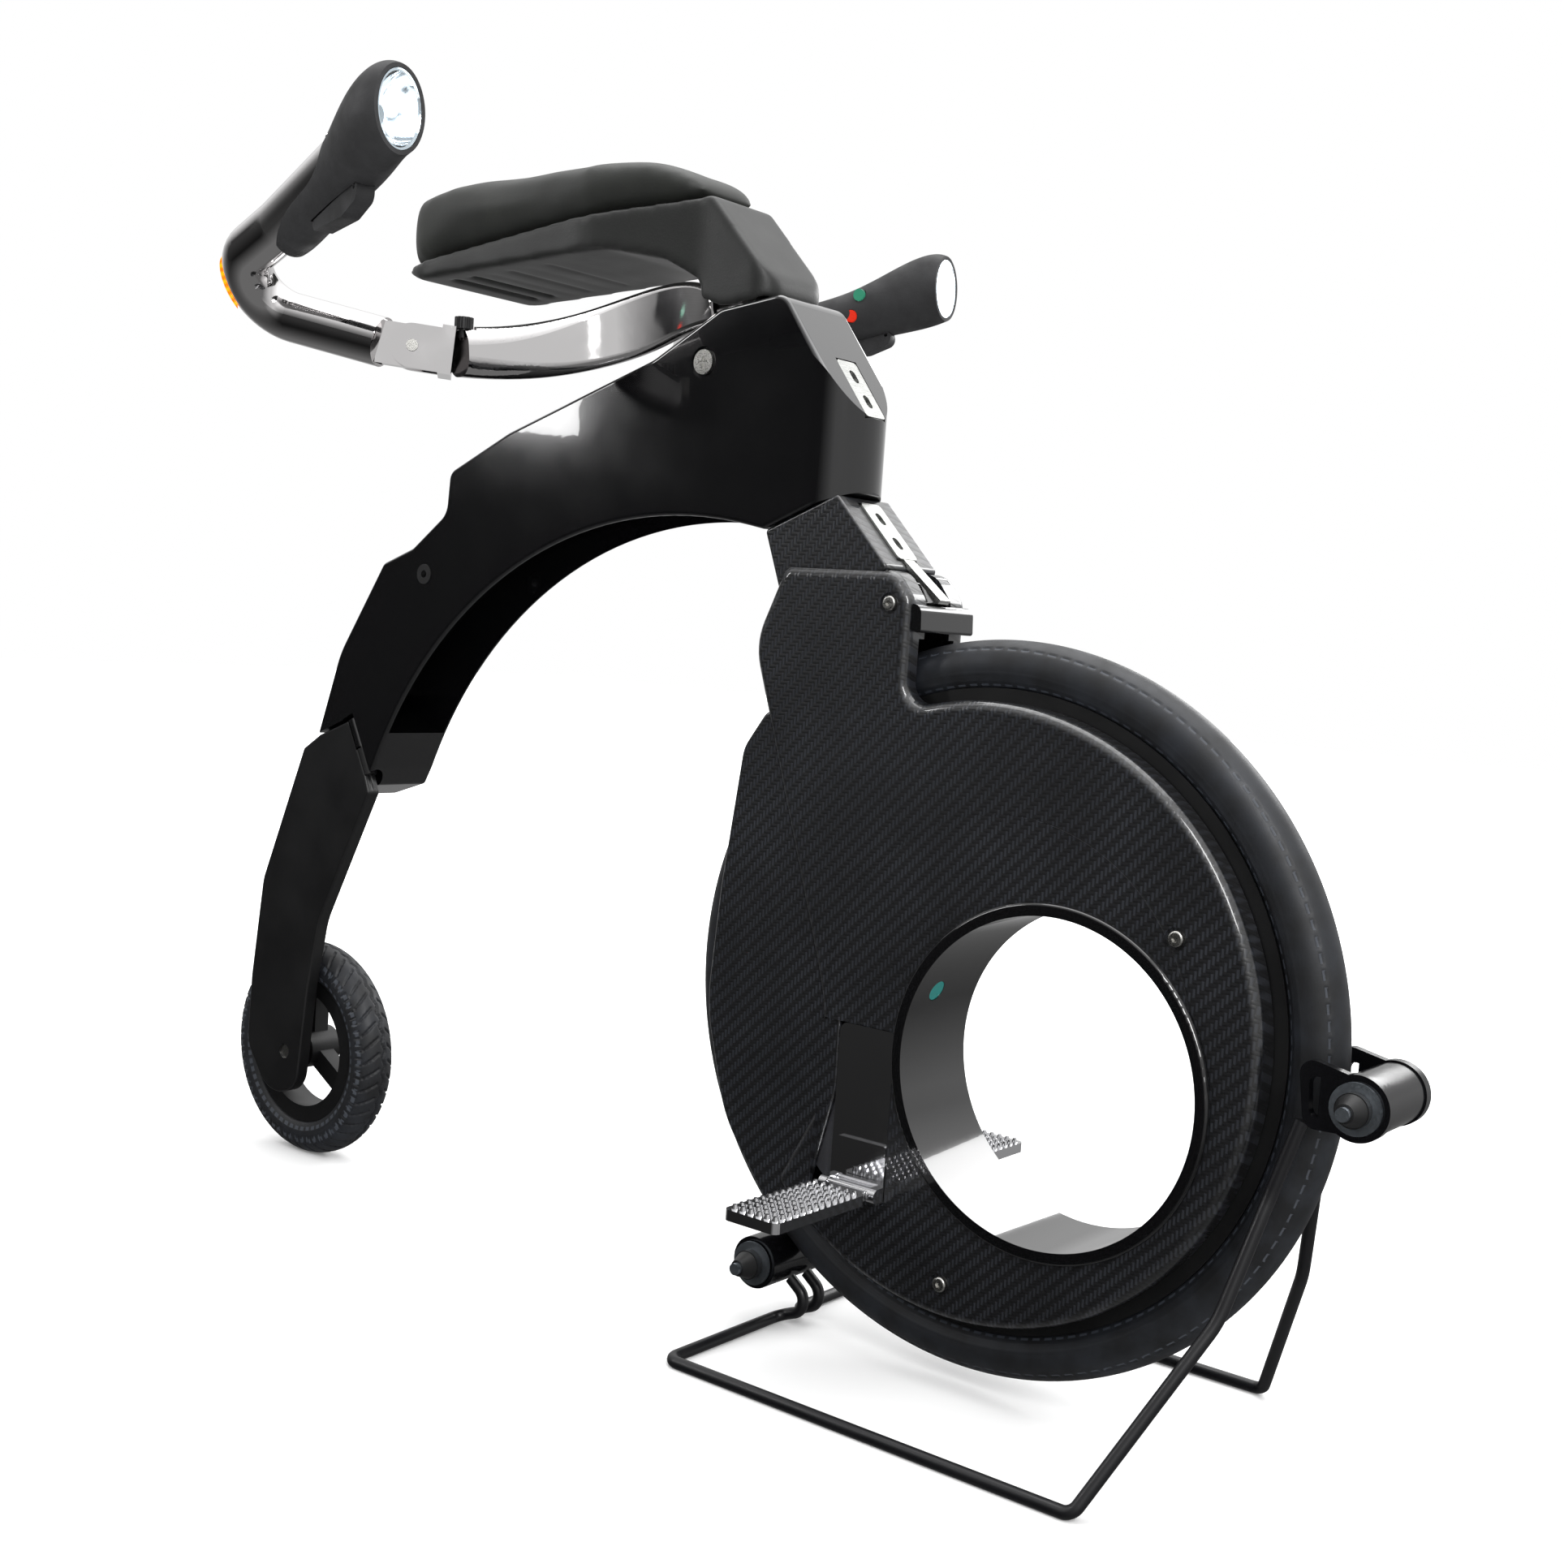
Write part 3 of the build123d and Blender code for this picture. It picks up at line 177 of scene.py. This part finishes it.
def black_lacquer():
    """Black lacquer over a moulded shell: deep black, mirror-like, with a trace of orange peel."""
    made, tree, shader = start_material("gloss_black_lacquer", "#060607", 0.10,
                                        Coat_Weight=1.0, Coat_Roughness=0.02)
    place, _ = where(tree)
    tree.links.new(ramp(tree, noise(tree, place, 30.0, 4.0), 0.06, 0.16), shader.inputs["Roughness"])
    bump(tree, shader, noise(tree, place, 9.0, 1.0), 0.012, "Coat Normal")
    return made


def satin_paint(name, colour, roughness, grain_mm=0.9):
    """Satin black paint: an even soft sheen with a fine dry grain."""
    made, tree, shader = start_material(name, colour, roughness)
    place, _ = where(tree)
    fine = noise(tree, place, grain_mm, 2.0)
    cloud = noise(tree, place, 45.0, 3.0)
    tree.links.new(ramp(tree, cloud, roughness - 0.07, roughness + 0.08, 0.3, 0.7),
                   shader.inputs["Roughness"])
    bump(tree, shader, fine, 0.03)
    return made


PEBBLE_MM = 1.3


def foam_skin(name, colour, lighter, roughness):
    """Self-skinned polyurethane foam: matte, faintly pebbled, a little greyer where it is rubbed."""
    made, tree, shader = start_material(name, colour, roughness, Sheen_Weight=0.04, Sheen_Roughness=0.5)
    place, _ = where(tree)
    pebble = add(tree, "ShaderNodeTexVoronoi", {"Scale": 1.0 / PEBBLE_MM, "feature": "SMOOTH_F1"},
                 {"Vector": place})
    rubbed = noise(tree, place, 38.0, 4.0)
    tree.links.new(blend_colour(tree, ramp(tree, rubbed, 0.0, 1.0, 0.35, 0.75), colour, lighter),
                   shader.inputs["Base Color"])
    tree.links.new(ramp(tree, rubbed, roughness + 0.06, roughness - 0.08), shader.inputs["Roughness"])
    bump(tree, shader, pebble.outputs["Distance"], 0.05)
    return made


def polished_metal(name, colour, roughness, scratch_mm=0.35, long_mm=14.0):
    """Buffed metal: a clean mirror with hairlines from the polishing wheel."""
    made, tree, shader = start_material(name, colour, roughness, 1.0)
    place, _ = where(tree)
    squeezed = add(tree, "ShaderNodeVectorMath",
                   {"operation": "MULTIPLY", 1: (1 / long_mm, 1 / long_mm, 1 / scratch_mm)}, {0: place})
    hairs = add(tree, "ShaderNodeTexNoise", {"Scale": 1.0, "Detail": 4.0}, {"Vector": squeezed.outputs[0]})
    smear = noise(tree, place, 25.0, 3.0)
    tree.links.new(ramp(tree, smear, max(roughness - 0.03, 0.02), roughness + 0.07, 0.35, 0.7),
                   shader.inputs["Roughness"])
    bump(tree, shader, hairs.outputs["Fac"], 0.006)
    return made


def tyre_rubber(name, axle, shoulder_mm, dashes):
    """Tyre rubber: blue-black and matte, with faint moulded marks round the shoulder."""
    made, tree, shader = start_material(name, "#15171b", 0.52)
    place, (x, y, z) = where(tree)
    dust = noise(tree, place, 22.0, 5.0)
    colour = blend_colour(tree, ramp(tree, dust, 0.0, 1.0, 0.35, 0.75), "#101114", "#1f2228")
    turn = maths(tree, "ARCTAN2", maths(tree, "SUBTRACT", z, axle.z / MM),
                 maths(tree, "SUBTRACT", x, axle.x / MM))
    along = maths(tree, "FRACT", maths(tree, "MULTIPLY", turn, dashes / (2 * math.pi)))
    dash = maths(tree, "LESS_THAN", along, 0.62)
    off = maths(tree, "ABSOLUTE", maths(tree, "SUBTRACT", maths(tree, "ABSOLUTE", y), shoulder_mm))
    ring = maths(tree, "MULTIPLY", maths(tree, "LESS_THAN", off, 0.55), dash)
    marked = add(tree, "ShaderNodeMix", {"data_type": "RGBA"}, {0: ring, 6: colour})
    marked.inputs[7].default_value = linear("#34383f")
    tree.links.new(marked.outputs[2], shader.inputs["Base Color"])
    tree.links.new(ramp(tree, dust, 0.58, 0.44, 0.3, 0.7), shader.inputs["Roughness"])
    grain = noise(tree, place, 0.8, 2.0)
    bump(tree, shader, maths(tree, "SUBTRACT", maths(tree, "MULTIPLY", grain, 0.3), ring), 0.12)
    return made


def soft_touch(name, colour):
    """Soft-touch moulded grip: very matte with a spark-eroded stipple."""
    made, tree, shader = start_material(name, colour, 0.68)
    place, _ = where(tree)
    stipple = add(tree, "ShaderNodeTexVoronoi", {"Scale": 1.0 / 0.8}, {"Vector": place})
    worn = noise(tree, place, 16.0, 3.0)
    tree.links.new(ramp(tree, worn, 0.74, 0.56, 0.35, 0.7), shader.inputs["Roughness"])
    tree.links.new(blend_colour(tree, worn, colour, "#2a2a2c"), shader.inputs["Base Color"])
    bump(tree, shader, stipple.outputs["Distance"], 0.06)
    return made


def brushed(name, colour, roughness, grain_mm=0.3):
    """Machined or brushed metal: short bright lines and a soft glare."""
    made, tree, shader = start_material(name, colour, roughness, 1.0)
    place, _ = where(tree)
    squeezed = add(tree, "ShaderNodeVectorMath",
                   {"operation": "MULTIPLY", 1: (1 / grain_mm, 0.2, 1 / grain_mm)}, {0: place})
    grain = add(tree, "ShaderNodeTexNoise", {"Scale": 0.5, "Detail": 3.0}, {"Vector": squeezed.outputs[0]})
    lines = grain.outputs["Fac"]
    tree.links.new(ramp(tree, lines, roughness - 0.08, roughness + 0.12, 0.3, 0.7),
                   shader.inputs["Roughness"])
    bump(tree, shader, lines, 0.015)
    return made


def clear_lens():
    """Clear polycarbonate lens: thin, hard and bright at its edge."""
    made, tree, shader = start_material("clear_polycarbonate", "#f4fbff", 0.02,
                                        Transmission_Weight=1.0, IOR=1.58)
    place, _ = where(tree)
    bump(tree, shader, noise(tree, place, 5.0, 1.0), 0.02)
    return made


def glowing(name, colour, glow, strength, stripe_mm=None):
    """A lit lens: moulded plastic with light behind it, brighter on its prism lines; the keys that use it
    have no light behind them, and their glow is a painted glow.
    """
    made, tree, shader = start_material(name, colour, 0.22, Coat_Weight=0.6, Coat_Roughness=0.05)
    shader.inputs["Emission Color"].default_value = linear(glow)
    place, (x, y, z) = where(tree)
    if stripe_mm:
        slant = maths(tree, "MULTIPLY", maths(tree, "ADD", z, x), 2 * math.pi / stripe_mm)
        lines = maths(tree, "SINE", slant)
        tree.links.new(ramp(tree, lines, strength * 0.35, strength, -1.0, 1.0),
                       shader.inputs["Emission Strength"])
        bump(tree, shader, lines, 0.2)
    else:
        haze = noise(tree, place, 2.0, 2.0)
        tree.links.new(ramp(tree, haze, strength * 0.8, strength), shader.inputs["Emission Strength"])
    return made


CARBON = carbon_twill()
LACQUER = black_lacquer()
FORK_PAINT = satin_paint("satin_black_fork", "#0d0d0e", 0.38)
RIM_PAINT = satin_paint("satin_black_rim", "#0a0a0b", 0.42)
WIRE_COAT = satin_paint("black_powder_coat", "#0d0d10", 0.36, 0.6)
STAND_GLOSS = satin_paint("gloss_black_enamel", "#08080a", 0.16, 3.0)
NYLON = satin_paint("moulded_black_nylon", "#101011", 0.45, 0.7)
SEAT_SKIN = foam_skin("foam_skin_top", "#161815", "#20221e", 0.56)
SEAT_SHELL = foam_skin("foam_skin_base", "#101110", "#181918", 0.48)
ALUMINIUM = polished_metal("mirror_polished_aluminium", "#eceaea", 0.05)
CHROME = polished_metal("bright_chrome_plate", "#dcdcde", 0.06)
REFLECTOR = polished_metal("vapour_coated_reflector", "#f2f4f6", 0.04)
STAINLESS = brushed("stainless_steel", "#b9b8b4", 0.28)
GROUND_STEEL = brushed("ground_bearing_steel", "#a8a8a6", 0.22)
NICKEL = brushed("satin_nickel_plate", "#c9cac7", 0.30)
ZINC = brushed("zinc_plate", "#b4bcc4", 0.36)
CAST_ALLOY = brushed("die_cast_alloy", "#9a9a98", 0.45)
SLICK_RUBBER = tyre_rubber("slick_tyre_rubber", FRONT_AXLE, 13.2, 150)
TREAD_RUBBER = tyre_rubber("tread_tyre_rubber", REAR_AXLE, 16.6, 60)
GRIP_SKIN = soft_touch("soft_touch_grip", "#161617")
LENS = clear_lens()
LAMP_GLOW = glowing("lit_white_diode", "#ffffff", "#dfeeff", 4.0)
AMBER = glowing("amber_acrylic_lens", "#c85a04", "#ff8a10", 2.2, 5.0)
# the teal, green and red keys are not lit: their emission is a painted glow
TEAL = glowing("teal_button_painted_glow", "#0b5f5c", "#0a8a82", 0.25)
GREEN = glowing("green_key", "#1d4d3c", "#49c59a", 0.35)
RED = glowing("red_key", "#8f1c10", "#ff3418", 0.5)
WRAP = soft_touch("battery_shrink_wrap", "#22232a")
ROLLER_SKIN = soft_touch("cast_polyurethane", "#6d6a63")

SLOT_FINISH = {
    "carbon": CARBON,
    "frame_lacquer": LACQUER,
    "fork_satin": FORK_PAINT,
    "seat_skin": SEAT_SKIN,
    "seat_shell": SEAT_SHELL,
    "polished_aluminium": ALUMINIUM,
    "grip_rubber": GRIP_SKIN,
    "lens_clear": LENS,
    "reflector_mirror": REFLECTOR,
    "amber_lens": AMBER,
    "tyre_slick": SLICK_RUBBER,
    "tyre_tread": TREAD_RUBBER,
    "black_metal": RIM_PAINT,
    "stainless": STAINLESS,
    "bearing_steel": GROUND_STEEL,
    "latch_plate": NICKEL,
    "peg_chrome": CHROME,
    "teal_button": TEAL,
    "button_green": GREEN,
    "button_red": RED,
    "stand_gloss": STAND_GLOSS,
    "stand_wire_black": WIRE_COAT,
    "zinc": ZINC,
    "nut_black": NYLON,
    "motor_alloy": CAST_ALLOY,
    "battery_wrap": WRAP,
    "roller_polymer": ROLLER_SKIN,
}


def finish_parts():
    """Give every built part the finish of its slot."""
    slot_of = {part["node"]: part["material_slot"] for part in frame["record"]["subparts"]}
    for name, part in NODES.items():
        finish = SLOT_FINISH[slot_of[name]]
        if not part.material_slots:
            part.data.materials.append(finish)
        for place in part.material_slots:
            place.material = finish


finish_parts()


# ---------------------------------------------------------------- mesh tools
def piece(name, shape, body, finish, replaces=(), smooth=True):
    """Turn a bmesh into a named piece that rides on a body."""
    mesh = bpy.data.meshes.new(name)
    bmesh.ops.recalc_face_normals(shape, faces=shape.faces)
    shape.to_mesh(mesh)
    shape.free()
    mesh.materials.append(finish)
    made = bpy.data.objects.new(name, mesh)
    bpy.context.scene.collection.objects.link(made)
    if smooth:
        mesh.polygons.foreach_set("use_smooth", [True] * len(mesh.polygons))
    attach(made, body)
    if replaces:
        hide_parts(*replaces)
    return made


def ring_skin(shape, rings, closed=True):
    """Join rings of points, each as long as the next, with quads; closed joins the last ring to the first."""
    rows = [[shape.verts.new(p) for p in ring] for ring in rings]
    count = len(rows[0])
    pairs = list(zip(rows, rows[1:] + rows[:1])) if closed else list(zip(rows, rows[1:]))
    for near, far in pairs:
        for i in range(count):
            k = (i + 1) % count
            shape.faces.new((near[i], near[k], far[k], far[i]))
    return rows


def tyre_profile(tube, wall, bead_gap, outer_steps, inner_steps):
    """A tyre's section as (distance from tube centre, angle, is_outer) from bead to bead and back inside."""
    start = math.acos(-bead_gap / tube)
    outer = [(tube, start * (1 - 2 * i / outer_steps), True) for i in range(outer_steps + 1)]
    inner_start = math.acos(max(-bead_gap / (tube - wall), -1.0))
    inner = [(tube - wall, -inner_start * (1 - 2 * i / inner_steps), False) for i in range(inner_steps + 1)]
    return outer + inner


INNER_STEPS = 16


def turned_tyre(name, node, body, finish, axle, radius, tube, wall, bead_gap, steps, section_steps,
                relief):
    """A tyre turned about Y; relief(turn, side) is how deep its outside is cut there, in metres."""
    shape = bmesh.new()
    section = tyre_profile(tube, wall, bead_gap, section_steps, INNER_STEPS)
    rings = []
    for i in range(steps):
        turn = 2 * math.pi * i / steps
        ring = []
        for reach, side, outside in section:
            reach = reach - relief(turn, side) if outside else reach
            far = radius - tube + reach * math.cos(side)
            ring.append((axle.x + far * math.cos(turn), axle.y + reach * math.sin(side),
                         axle.z + far * math.sin(turn)))
        rings.append(ring)
    ring_skin(shape, rings)
    return piece(name, shape, body, finish, (node,))


# ---------------------------------------------------------------- tyres
FRONT_TUBE = 17.5 * MM
REAR_TUBE = 17.5 * MM
SLICK_DASHES = 150
TREAD_BLOCKS = 44


def slick_relief(turn, side):
    """A slick: two fine mould lines on each sidewall and a shallow dashed groove on each shoulder."""
    flank = abs(math.degrees(side))
    if 104 < flank < 106.5 or 118 < flank < 120.5:
        return -0.25 * MM
    dash = (math.degrees(turn) * SLICK_DASHES / 360) % 1.0
    if 47 < flank < 51 and dash < 0.6:
        return 0.45 * MM
    return 0.0


def tread_relief(turn, side):
    """Road tread: a zigzag centre groove, and slanted sipes from it to the shoulders."""
    angle = math.degrees(side)
    flank = abs(angle)
    pitch = (math.degrees(turn) * TREAD_BLOCKS / 360) % 1.0
    zigzag = 9.0 * (2 * abs(pitch - 0.5) - 0.5)
    if abs(angle - zigzag) < 4.0:
        return 1.5 * MM
    slant = (pitch + flank / 62.0 + (0.5 if angle > 0 else 0.0)) % 1.0
    if 14 < flank < 62 and slant < 0.2:
        return 1.4 * MM
    if 66 < flank < 84 and (pitch * 2) % 1.0 < 0.25:
        return 0.7 * MM
    if 100 < flank < 103:
        return -0.3 * MM
    return 0.0


def tyres():
    turned_tyre("slick_tyre", "front_tyre", "front_wheel", SLICK_RUBBER, FRONT_AXLE, FRONT_R, FRONT_TUBE,
                wall=3.2 * MM, bead_gap=15.4 * MM, steps=900, section_steps=96,
                relief=slick_relief)
    turned_tyre("treaded_tyre", "rear_tyre", "rear_wheel", TREAD_RUBBER, REAR_AXLE, REAR_R, REAR_TUBE,
                wall=3.5 * MM, bead_gap=10.5 * MM, steps=720, section_steps=88,
                relief=tread_relief)


tyres()


# ---------------------------------------------------------------- saddle
def remeshed(name, node, voxel_mm, smooth_steps, shrink_mm=0.0):
    """A copy of a built part's surface, evened out and with its edges rolled over."""
    mesh = NODES[node].data.copy()
    mesh.name = name
    made = bpy.data.objects.new(name, mesh)
    bpy.context.scene.collection.objects.link(made)
    shape = bmesh.new()
    shape.from_mesh(mesh)
    bmesh.ops.remove_doubles(shape, verts=shape.verts, dist=1e-5)
    shape.normal_update()
    for vert in shape.verts:
        vert.co -= vert.normal * shrink_mm * MM
    shape.to_mesh(mesh)
    shape.free()
    grid = made.modifiers.new("even", "REMESH")
    grid.mode = "VOXEL"
    grid.voxel_size = voxel_mm * MM
    roll = made.modifiers.new("roll", "SMOOTH")
    roll.factor = 0.5
    roll.iterations = smooth_steps
    freeze(made)
    return made


def freeze(made):
    """Apply every modifier of an object to its mesh."""
    ready = made.evaluated_get(bpy.context.evaluated_depsgraph_get())
    mesh = bpy.data.meshes.new_from_object(ready)
    made.modifiers.clear()
    made.data = mesh


def swell(made, pressure, cap_mm, frames=20):
    """Blow a pad up a little as cloth, as its foam fills its skin, and keep every point near where it was."""
    before = [v.co.copy() for v in made.data.vertices]
    cloth = made.modifiers.new("skin", "CLOTH")
    cloth.settings.use_pressure = True
    cloth.settings.uniform_pressure_force = pressure
    cloth.settings.effector_weights.gravity = 0.0
    cloth.settings.quality = 5
    scene = bpy.context.scene
    scene.frame_start = 1
    scene.frame_end = frames
    cloth.point_cache.frame_start = 1
    cloth.point_cache.frame_end = frames
    for step in range(1, frames + 1):
        scene.frame_set(step)
    freeze(made)
    scene.frame_set(1)
    for vert, start in zip(made.data.vertices, before):
        moved = vert.co - start
        if moved.length > cap_mm * MM:
            vert.co = start + moved.normalized() * cap_mm * MM


def settle(made, steps):
    """Even out what a simulation leaves."""
    calm = made.modifiers.new("calm", "SMOOTH")
    calm.factor = 0.5
    calm.iterations = steps
    split = made.modifiers.new("fine", "SUBSURF")
    split.levels = 1
    split.render_levels = 1
    freeze(made)


def finish_soft(made, body, finish, node):
    made.data.materials.clear()
    made.data.materials.append(finish)
    made.data.polygons.foreach_set("use_smooth", [True] * len(made.data.polygons))
    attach(made, body)
    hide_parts(node)


def saddle():
    cushion = remeshed("saddle_cushion", "seat_pad", 5.0, 26, 1.5)
    swell(cushion, 3.0, 3.0)
    settle(cushion, 14)
    finish_soft(cushion, "frame", SEAT_SKIN, "seat_pad")
    shell = remeshed("saddle_shell", "seat_base", 2.2, 16)
    finish_soft(shell, "frame", SEAT_SHELL, "seat_base")


saddle()


# ---------------------------------------------------------------- grips, lamps and footpegs
GRIP_BACK = Vector((-192.6, -249.6, 724.0)) * MM     # the grip's middle line, right side
GRIP_FRONT = Vector((-48.6, -287.6, 765.0)) * MM
SPINE_SHARE = 0.70          # how far along the grip the bright spine runs
SPINE_STEPS = 60
SPINE_HALF = 10             # points from the spine's middle to its edge
SPINE_PROUD = 0.9 * MM
SPINE_DEEP = 0.4 * MM
SPINE_TURN = math.radians(58)       # its middle, from straight outward towards the top
SPINE_SPREAD = math.radians(66)     # half its width at the bend, as an angle round the grip
SPINE_TIP = math.radians(1.0)
SPINE_TAPER = 0.6
RAY_START = 60 * MM         # outside the grip on every side


def other_side(point, side):
    return Vector((point.x, point.y * side, point.z))


def bright_spine(word, side):
    """The polished bar shows through the top of the grip as a strip that narrows to a point."""
    start, end = other_side(GRIP_BACK, side), other_side(GRIP_FRONT, side)
    along = (end - start).normalized()
    outward = Vector((0, -side, 0))
    outward = (outward - along * outward.dot(along)).normalized()
    upward = Vector((0, 0, 1))
    upward = (upward - along * upward.dot(along)).normalized()
    grip = NODES["grip_" + word].data
    skin = BVHTree.FromPolygons([v.co for v in grip.vertices], [p.vertices for p in grip.polygons])
    length = (end - start).length * SPINE_SHARE
    rings = []
    for i in range(SPINE_STEPS + 1):
        share = i / SPINE_STEPS
        on_line = start + along * (length * share)
        half = SPINE_SPREAD * (1 - share) ** SPINE_TAPER + SPINE_TIP
        outer, inner = [], []
        for j in range(-SPINE_HALF, SPINE_HALF + 1):
            turn = SPINE_TURN + half * j / SPINE_HALF
            ray = outward * math.cos(turn) + upward * math.sin(turn)
            hit = skin.ray_cast(on_line + ray * RAY_START, -ray)[0]
            if hit is None:
                break
            outer.append(hit + ray * SPINE_PROUD)
            inner.append(hit - ray * SPINE_DEEP)
        else:
            rings.append(outer + inner[::-1])
    shape = bmesh.new()
    rows = ring_skin(shape, rings, closed=False)
    shape.faces.new(rows[0][::-1])
    shape.faces.new(rows[-1])
    piece("grip_spine_" + word, shape, word + "_bar", ALUMINIUM)


DIODE_R = 4.2 * MM
DIODE_BEHIND = 8 * MM       # from the lens's middle back into the bowl


def lit_diode(word):
    """The lit diode on its holder, deep in the reflector."""
    bowl, lens = middle("reflector_" + word), middle("lamp_lens_" + word)
    forward = (lens - bowl).normalized()
    shape = bmesh.new()
    aim = forward.to_track_quat("Z", "Y").to_matrix().to_4x4()
    at = Matrix.Translation(lens - forward * DIODE_BEHIND) @ aim
    bmesh.ops.create_uvsphere(shape, u_segments=32, v_segments=20, radius=DIODE_R, matrix=at)
    piece("lit_diode_" + word, shape, word + "_bar", LAMP_GLOW)


KNOB_ROWS = 6
KNOB_COLUMNS = 13
KNOB_APART_X = 6.4 * MM
KNOB_APART_Y = 6.9 * MM
KNOB_FROM_TIP = 5.5 * MM    # from the plate's tip to the first row
KNOB_BASE_R = 2.3 * MM
KNOB_TOP_R = 1.3 * MM
KNOB_TALL = 3.2 * MM
KNOB_LIFT = 1.1 * MM        # a stud's middle above the plate's top, so that its foot lies in the plate
PEG_HALF_THICK = 3.5 * MM


def peg_knobs(word, side):
    """Rows of small cast studs that keep a shoe on the plate."""
    low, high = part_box("footpeg_" + word)
    top = (low.z + high.z) / 2 + PEG_HALF_THICK
    tip = low.y if side > 0 else high.y
    shape = bmesh.new()
    for i in range(KNOB_ROWS):
        for j in range(KNOB_COLUMNS):
            x = (low.x + high.x) / 2 + (i - (KNOB_ROWS - 1) / 2) * KNOB_APART_X
            y = tip + side * (KNOB_FROM_TIP + KNOB_APART_Y * j)
            bmesh.ops.create_cone(shape, cap_ends=True, segments=10, radius1=KNOB_BASE_R, radius2=KNOB_TOP_R,
                                  depth=KNOB_TALL, matrix=Matrix.Translation((x, y, top + KNOB_LIFT)))
    piece("peg_knobs_" + word, shape, "footpeg_" + word, CHROME, smooth=False)


for word, side in (("right", 1), ("left", -1)):
    bright_spine(word, side)
    lit_diode(word)
    peg_knobs(word, side)


# ---------------------------------------------------------------- studio
CAMERA_AT = Vector((0.8744, -1.045, 0.484))
CAMERA_TURN = math.radians(37.8)
CAMERA_TILT = math.radians(4.8)
CAMERA_ROLL = math.radians(3.9)
LENS_MM = 43.66
SENSOR_MM = 36.0


def place_camera():
    data = bpy.data.cameras.new("camera")
    data.sensor_fit = "VERTICAL"
    data.sensor_height = SENSOR_MM
    data.lens = LENS_MM
    data.clip_end = 50
    made = bpy.data.objects.new("camera", data)
    level = math.cos(CAMERA_TILT)
    back = Vector((math.sin(CAMERA_TURN) * level, -math.cos(CAMERA_TURN) * level, math.sin(CAMERA_TILT)))
    flat_right = Vector((math.cos(CAMERA_TURN), math.sin(CAMERA_TURN), 0))
    flat_up = back.cross(flat_right)
    right = flat_right * math.cos(CAMERA_ROLL) + flat_up * math.sin(CAMERA_ROLL)
    up = flat_up * math.cos(CAMERA_ROLL) - flat_right * math.sin(CAMERA_ROLL)
    turn = Matrix((right, up, back)).transposed().to_4x4()
    made.matrix_world = Matrix.Translation(CAMERA_AT) @ turn
    bpy.context.scene.collection.objects.link(made)
    bpy.context.scene.camera = made


def soft_light(name, at, towards, wide, tall, watts):
    data = bpy.data.lights.new(name, "AREA")
    data.shape = "RECTANGLE"
    data.size = wide
    data.size_y = tall
    data.energy = watts
    made = bpy.data.objects.new(name, data)
    aim = (Vector(towards) - Vector(at)).to_track_quat("-Z", "Y")
    made.matrix_world = Matrix.Translation(at) @ aim.to_matrix().to_4x4()
    bpy.context.scene.collection.objects.link(made)


FLOOR_HALF = 9.0
FADE_FROM_MM = 600.0        # the floor shows soft shadows inside this distance
FADE_TO_MM = 2300.0         # and has faded to plain white here


def floor():
    """A wide white paper floor: shadows show close to the bicycle, and it is plain white far out."""
    mesh = bpy.data.meshes.new("floor")
    shape = bmesh.new()
    bmesh.ops.create_grid(shape, x_segments=1, y_segments=1, size=FLOOR_HALF)
    shape.to_mesh(mesh)
    shape.free()
    made = bpy.data.objects.new("floor", mesh)
    paper, tree, shader = start_material("studio_paper", "#f7f7f7", 0.9)
    shader.inputs["Emission Color"].default_value = linear("#ffffff")
    place, _ = where(tree)
    far = add(tree, "ShaderNodeVectorMath", {"operation": "LENGTH"}, {0: place}).outputs["Value"]
    tree.links.new(ramp(tree, far, 0.10, 1.0, FADE_FROM_MM, FADE_TO_MM), shader.inputs["Emission Strength"])
    mesh.materials.append(paper)
    bpy.context.scene.collection.objects.link(made)
    made.visible_glossy = False


# name, place, aim, width, height, watts
LIGHTS = (
    ("key_window", (1.9, -1.6, 1.9), (0.1, 0, 0.4), 0.5, 1.5, 34),
    ("side_window", (-1.9, -1.7, 1.5), (-0.1, 0, 0.5), 0.22, 1.4, 12),
    ("top_bank", (0.0, 0.3, 2.6), (0, 0, 0.3), 2.6, 2.0, 34),
    ("back_edge", (0.3, 2.2, 1.5), (0, 0, 0.5), 1.8, 0.7, 22),
)


def studio():
    """White to the camera; the walls of the room are pale, with windows that the gloss mirrors."""
    bpy.context.scene.view_settings.view_transform = "Standard"
    world = bpy.data.worlds.new("studio")
    bpy.context.scene.world = world
    world.use_nodes = True
    tree = world.node_tree
    paths = add(tree, "ShaderNodeLightPath")
    way = add(tree, "ShaderNodeSeparateXYZ", links={0: add(tree, "ShaderNodeTexCoord").outputs["Generated"]})
    # the wall that the flat sides mirror is dark; the rest of the room is pale, and paler above
    facing = maths(tree, "ADD", maths(tree, "MULTIPLY", way.outputs["X"], -0.6),
                   maths(tree, "MULTIPLY", way.outputs["Y"], -0.78))
    wall = ramp(tree, facing, 0.62, 0.04, 0.35, 0.82)
    lower = maths(tree, "MULTIPLY", wall, ramp(tree, way.outputs["Z"], 0.25, 1.0, -0.45, 0.05))
    room = maths(tree, "ADD", lower, ramp(tree, way.outputs["Z"], 0.0, 0.8, 0.2, 0.8))
    dim = add(tree, "ShaderNodeMix", {"data_type": "FLOAT", 3: 1.0},
              {0: paths.outputs["Is Camera Ray"], 2: room})
    backdrop = tree.nodes["Background"]
    backdrop.inputs["Color"].default_value = linear("#ffffff")
    tree.links.new(dim.outputs[0], backdrop.inputs["Strength"])
    for light in LIGHTS:
        soft_light(*light)


place_camera()
floor()
studio()
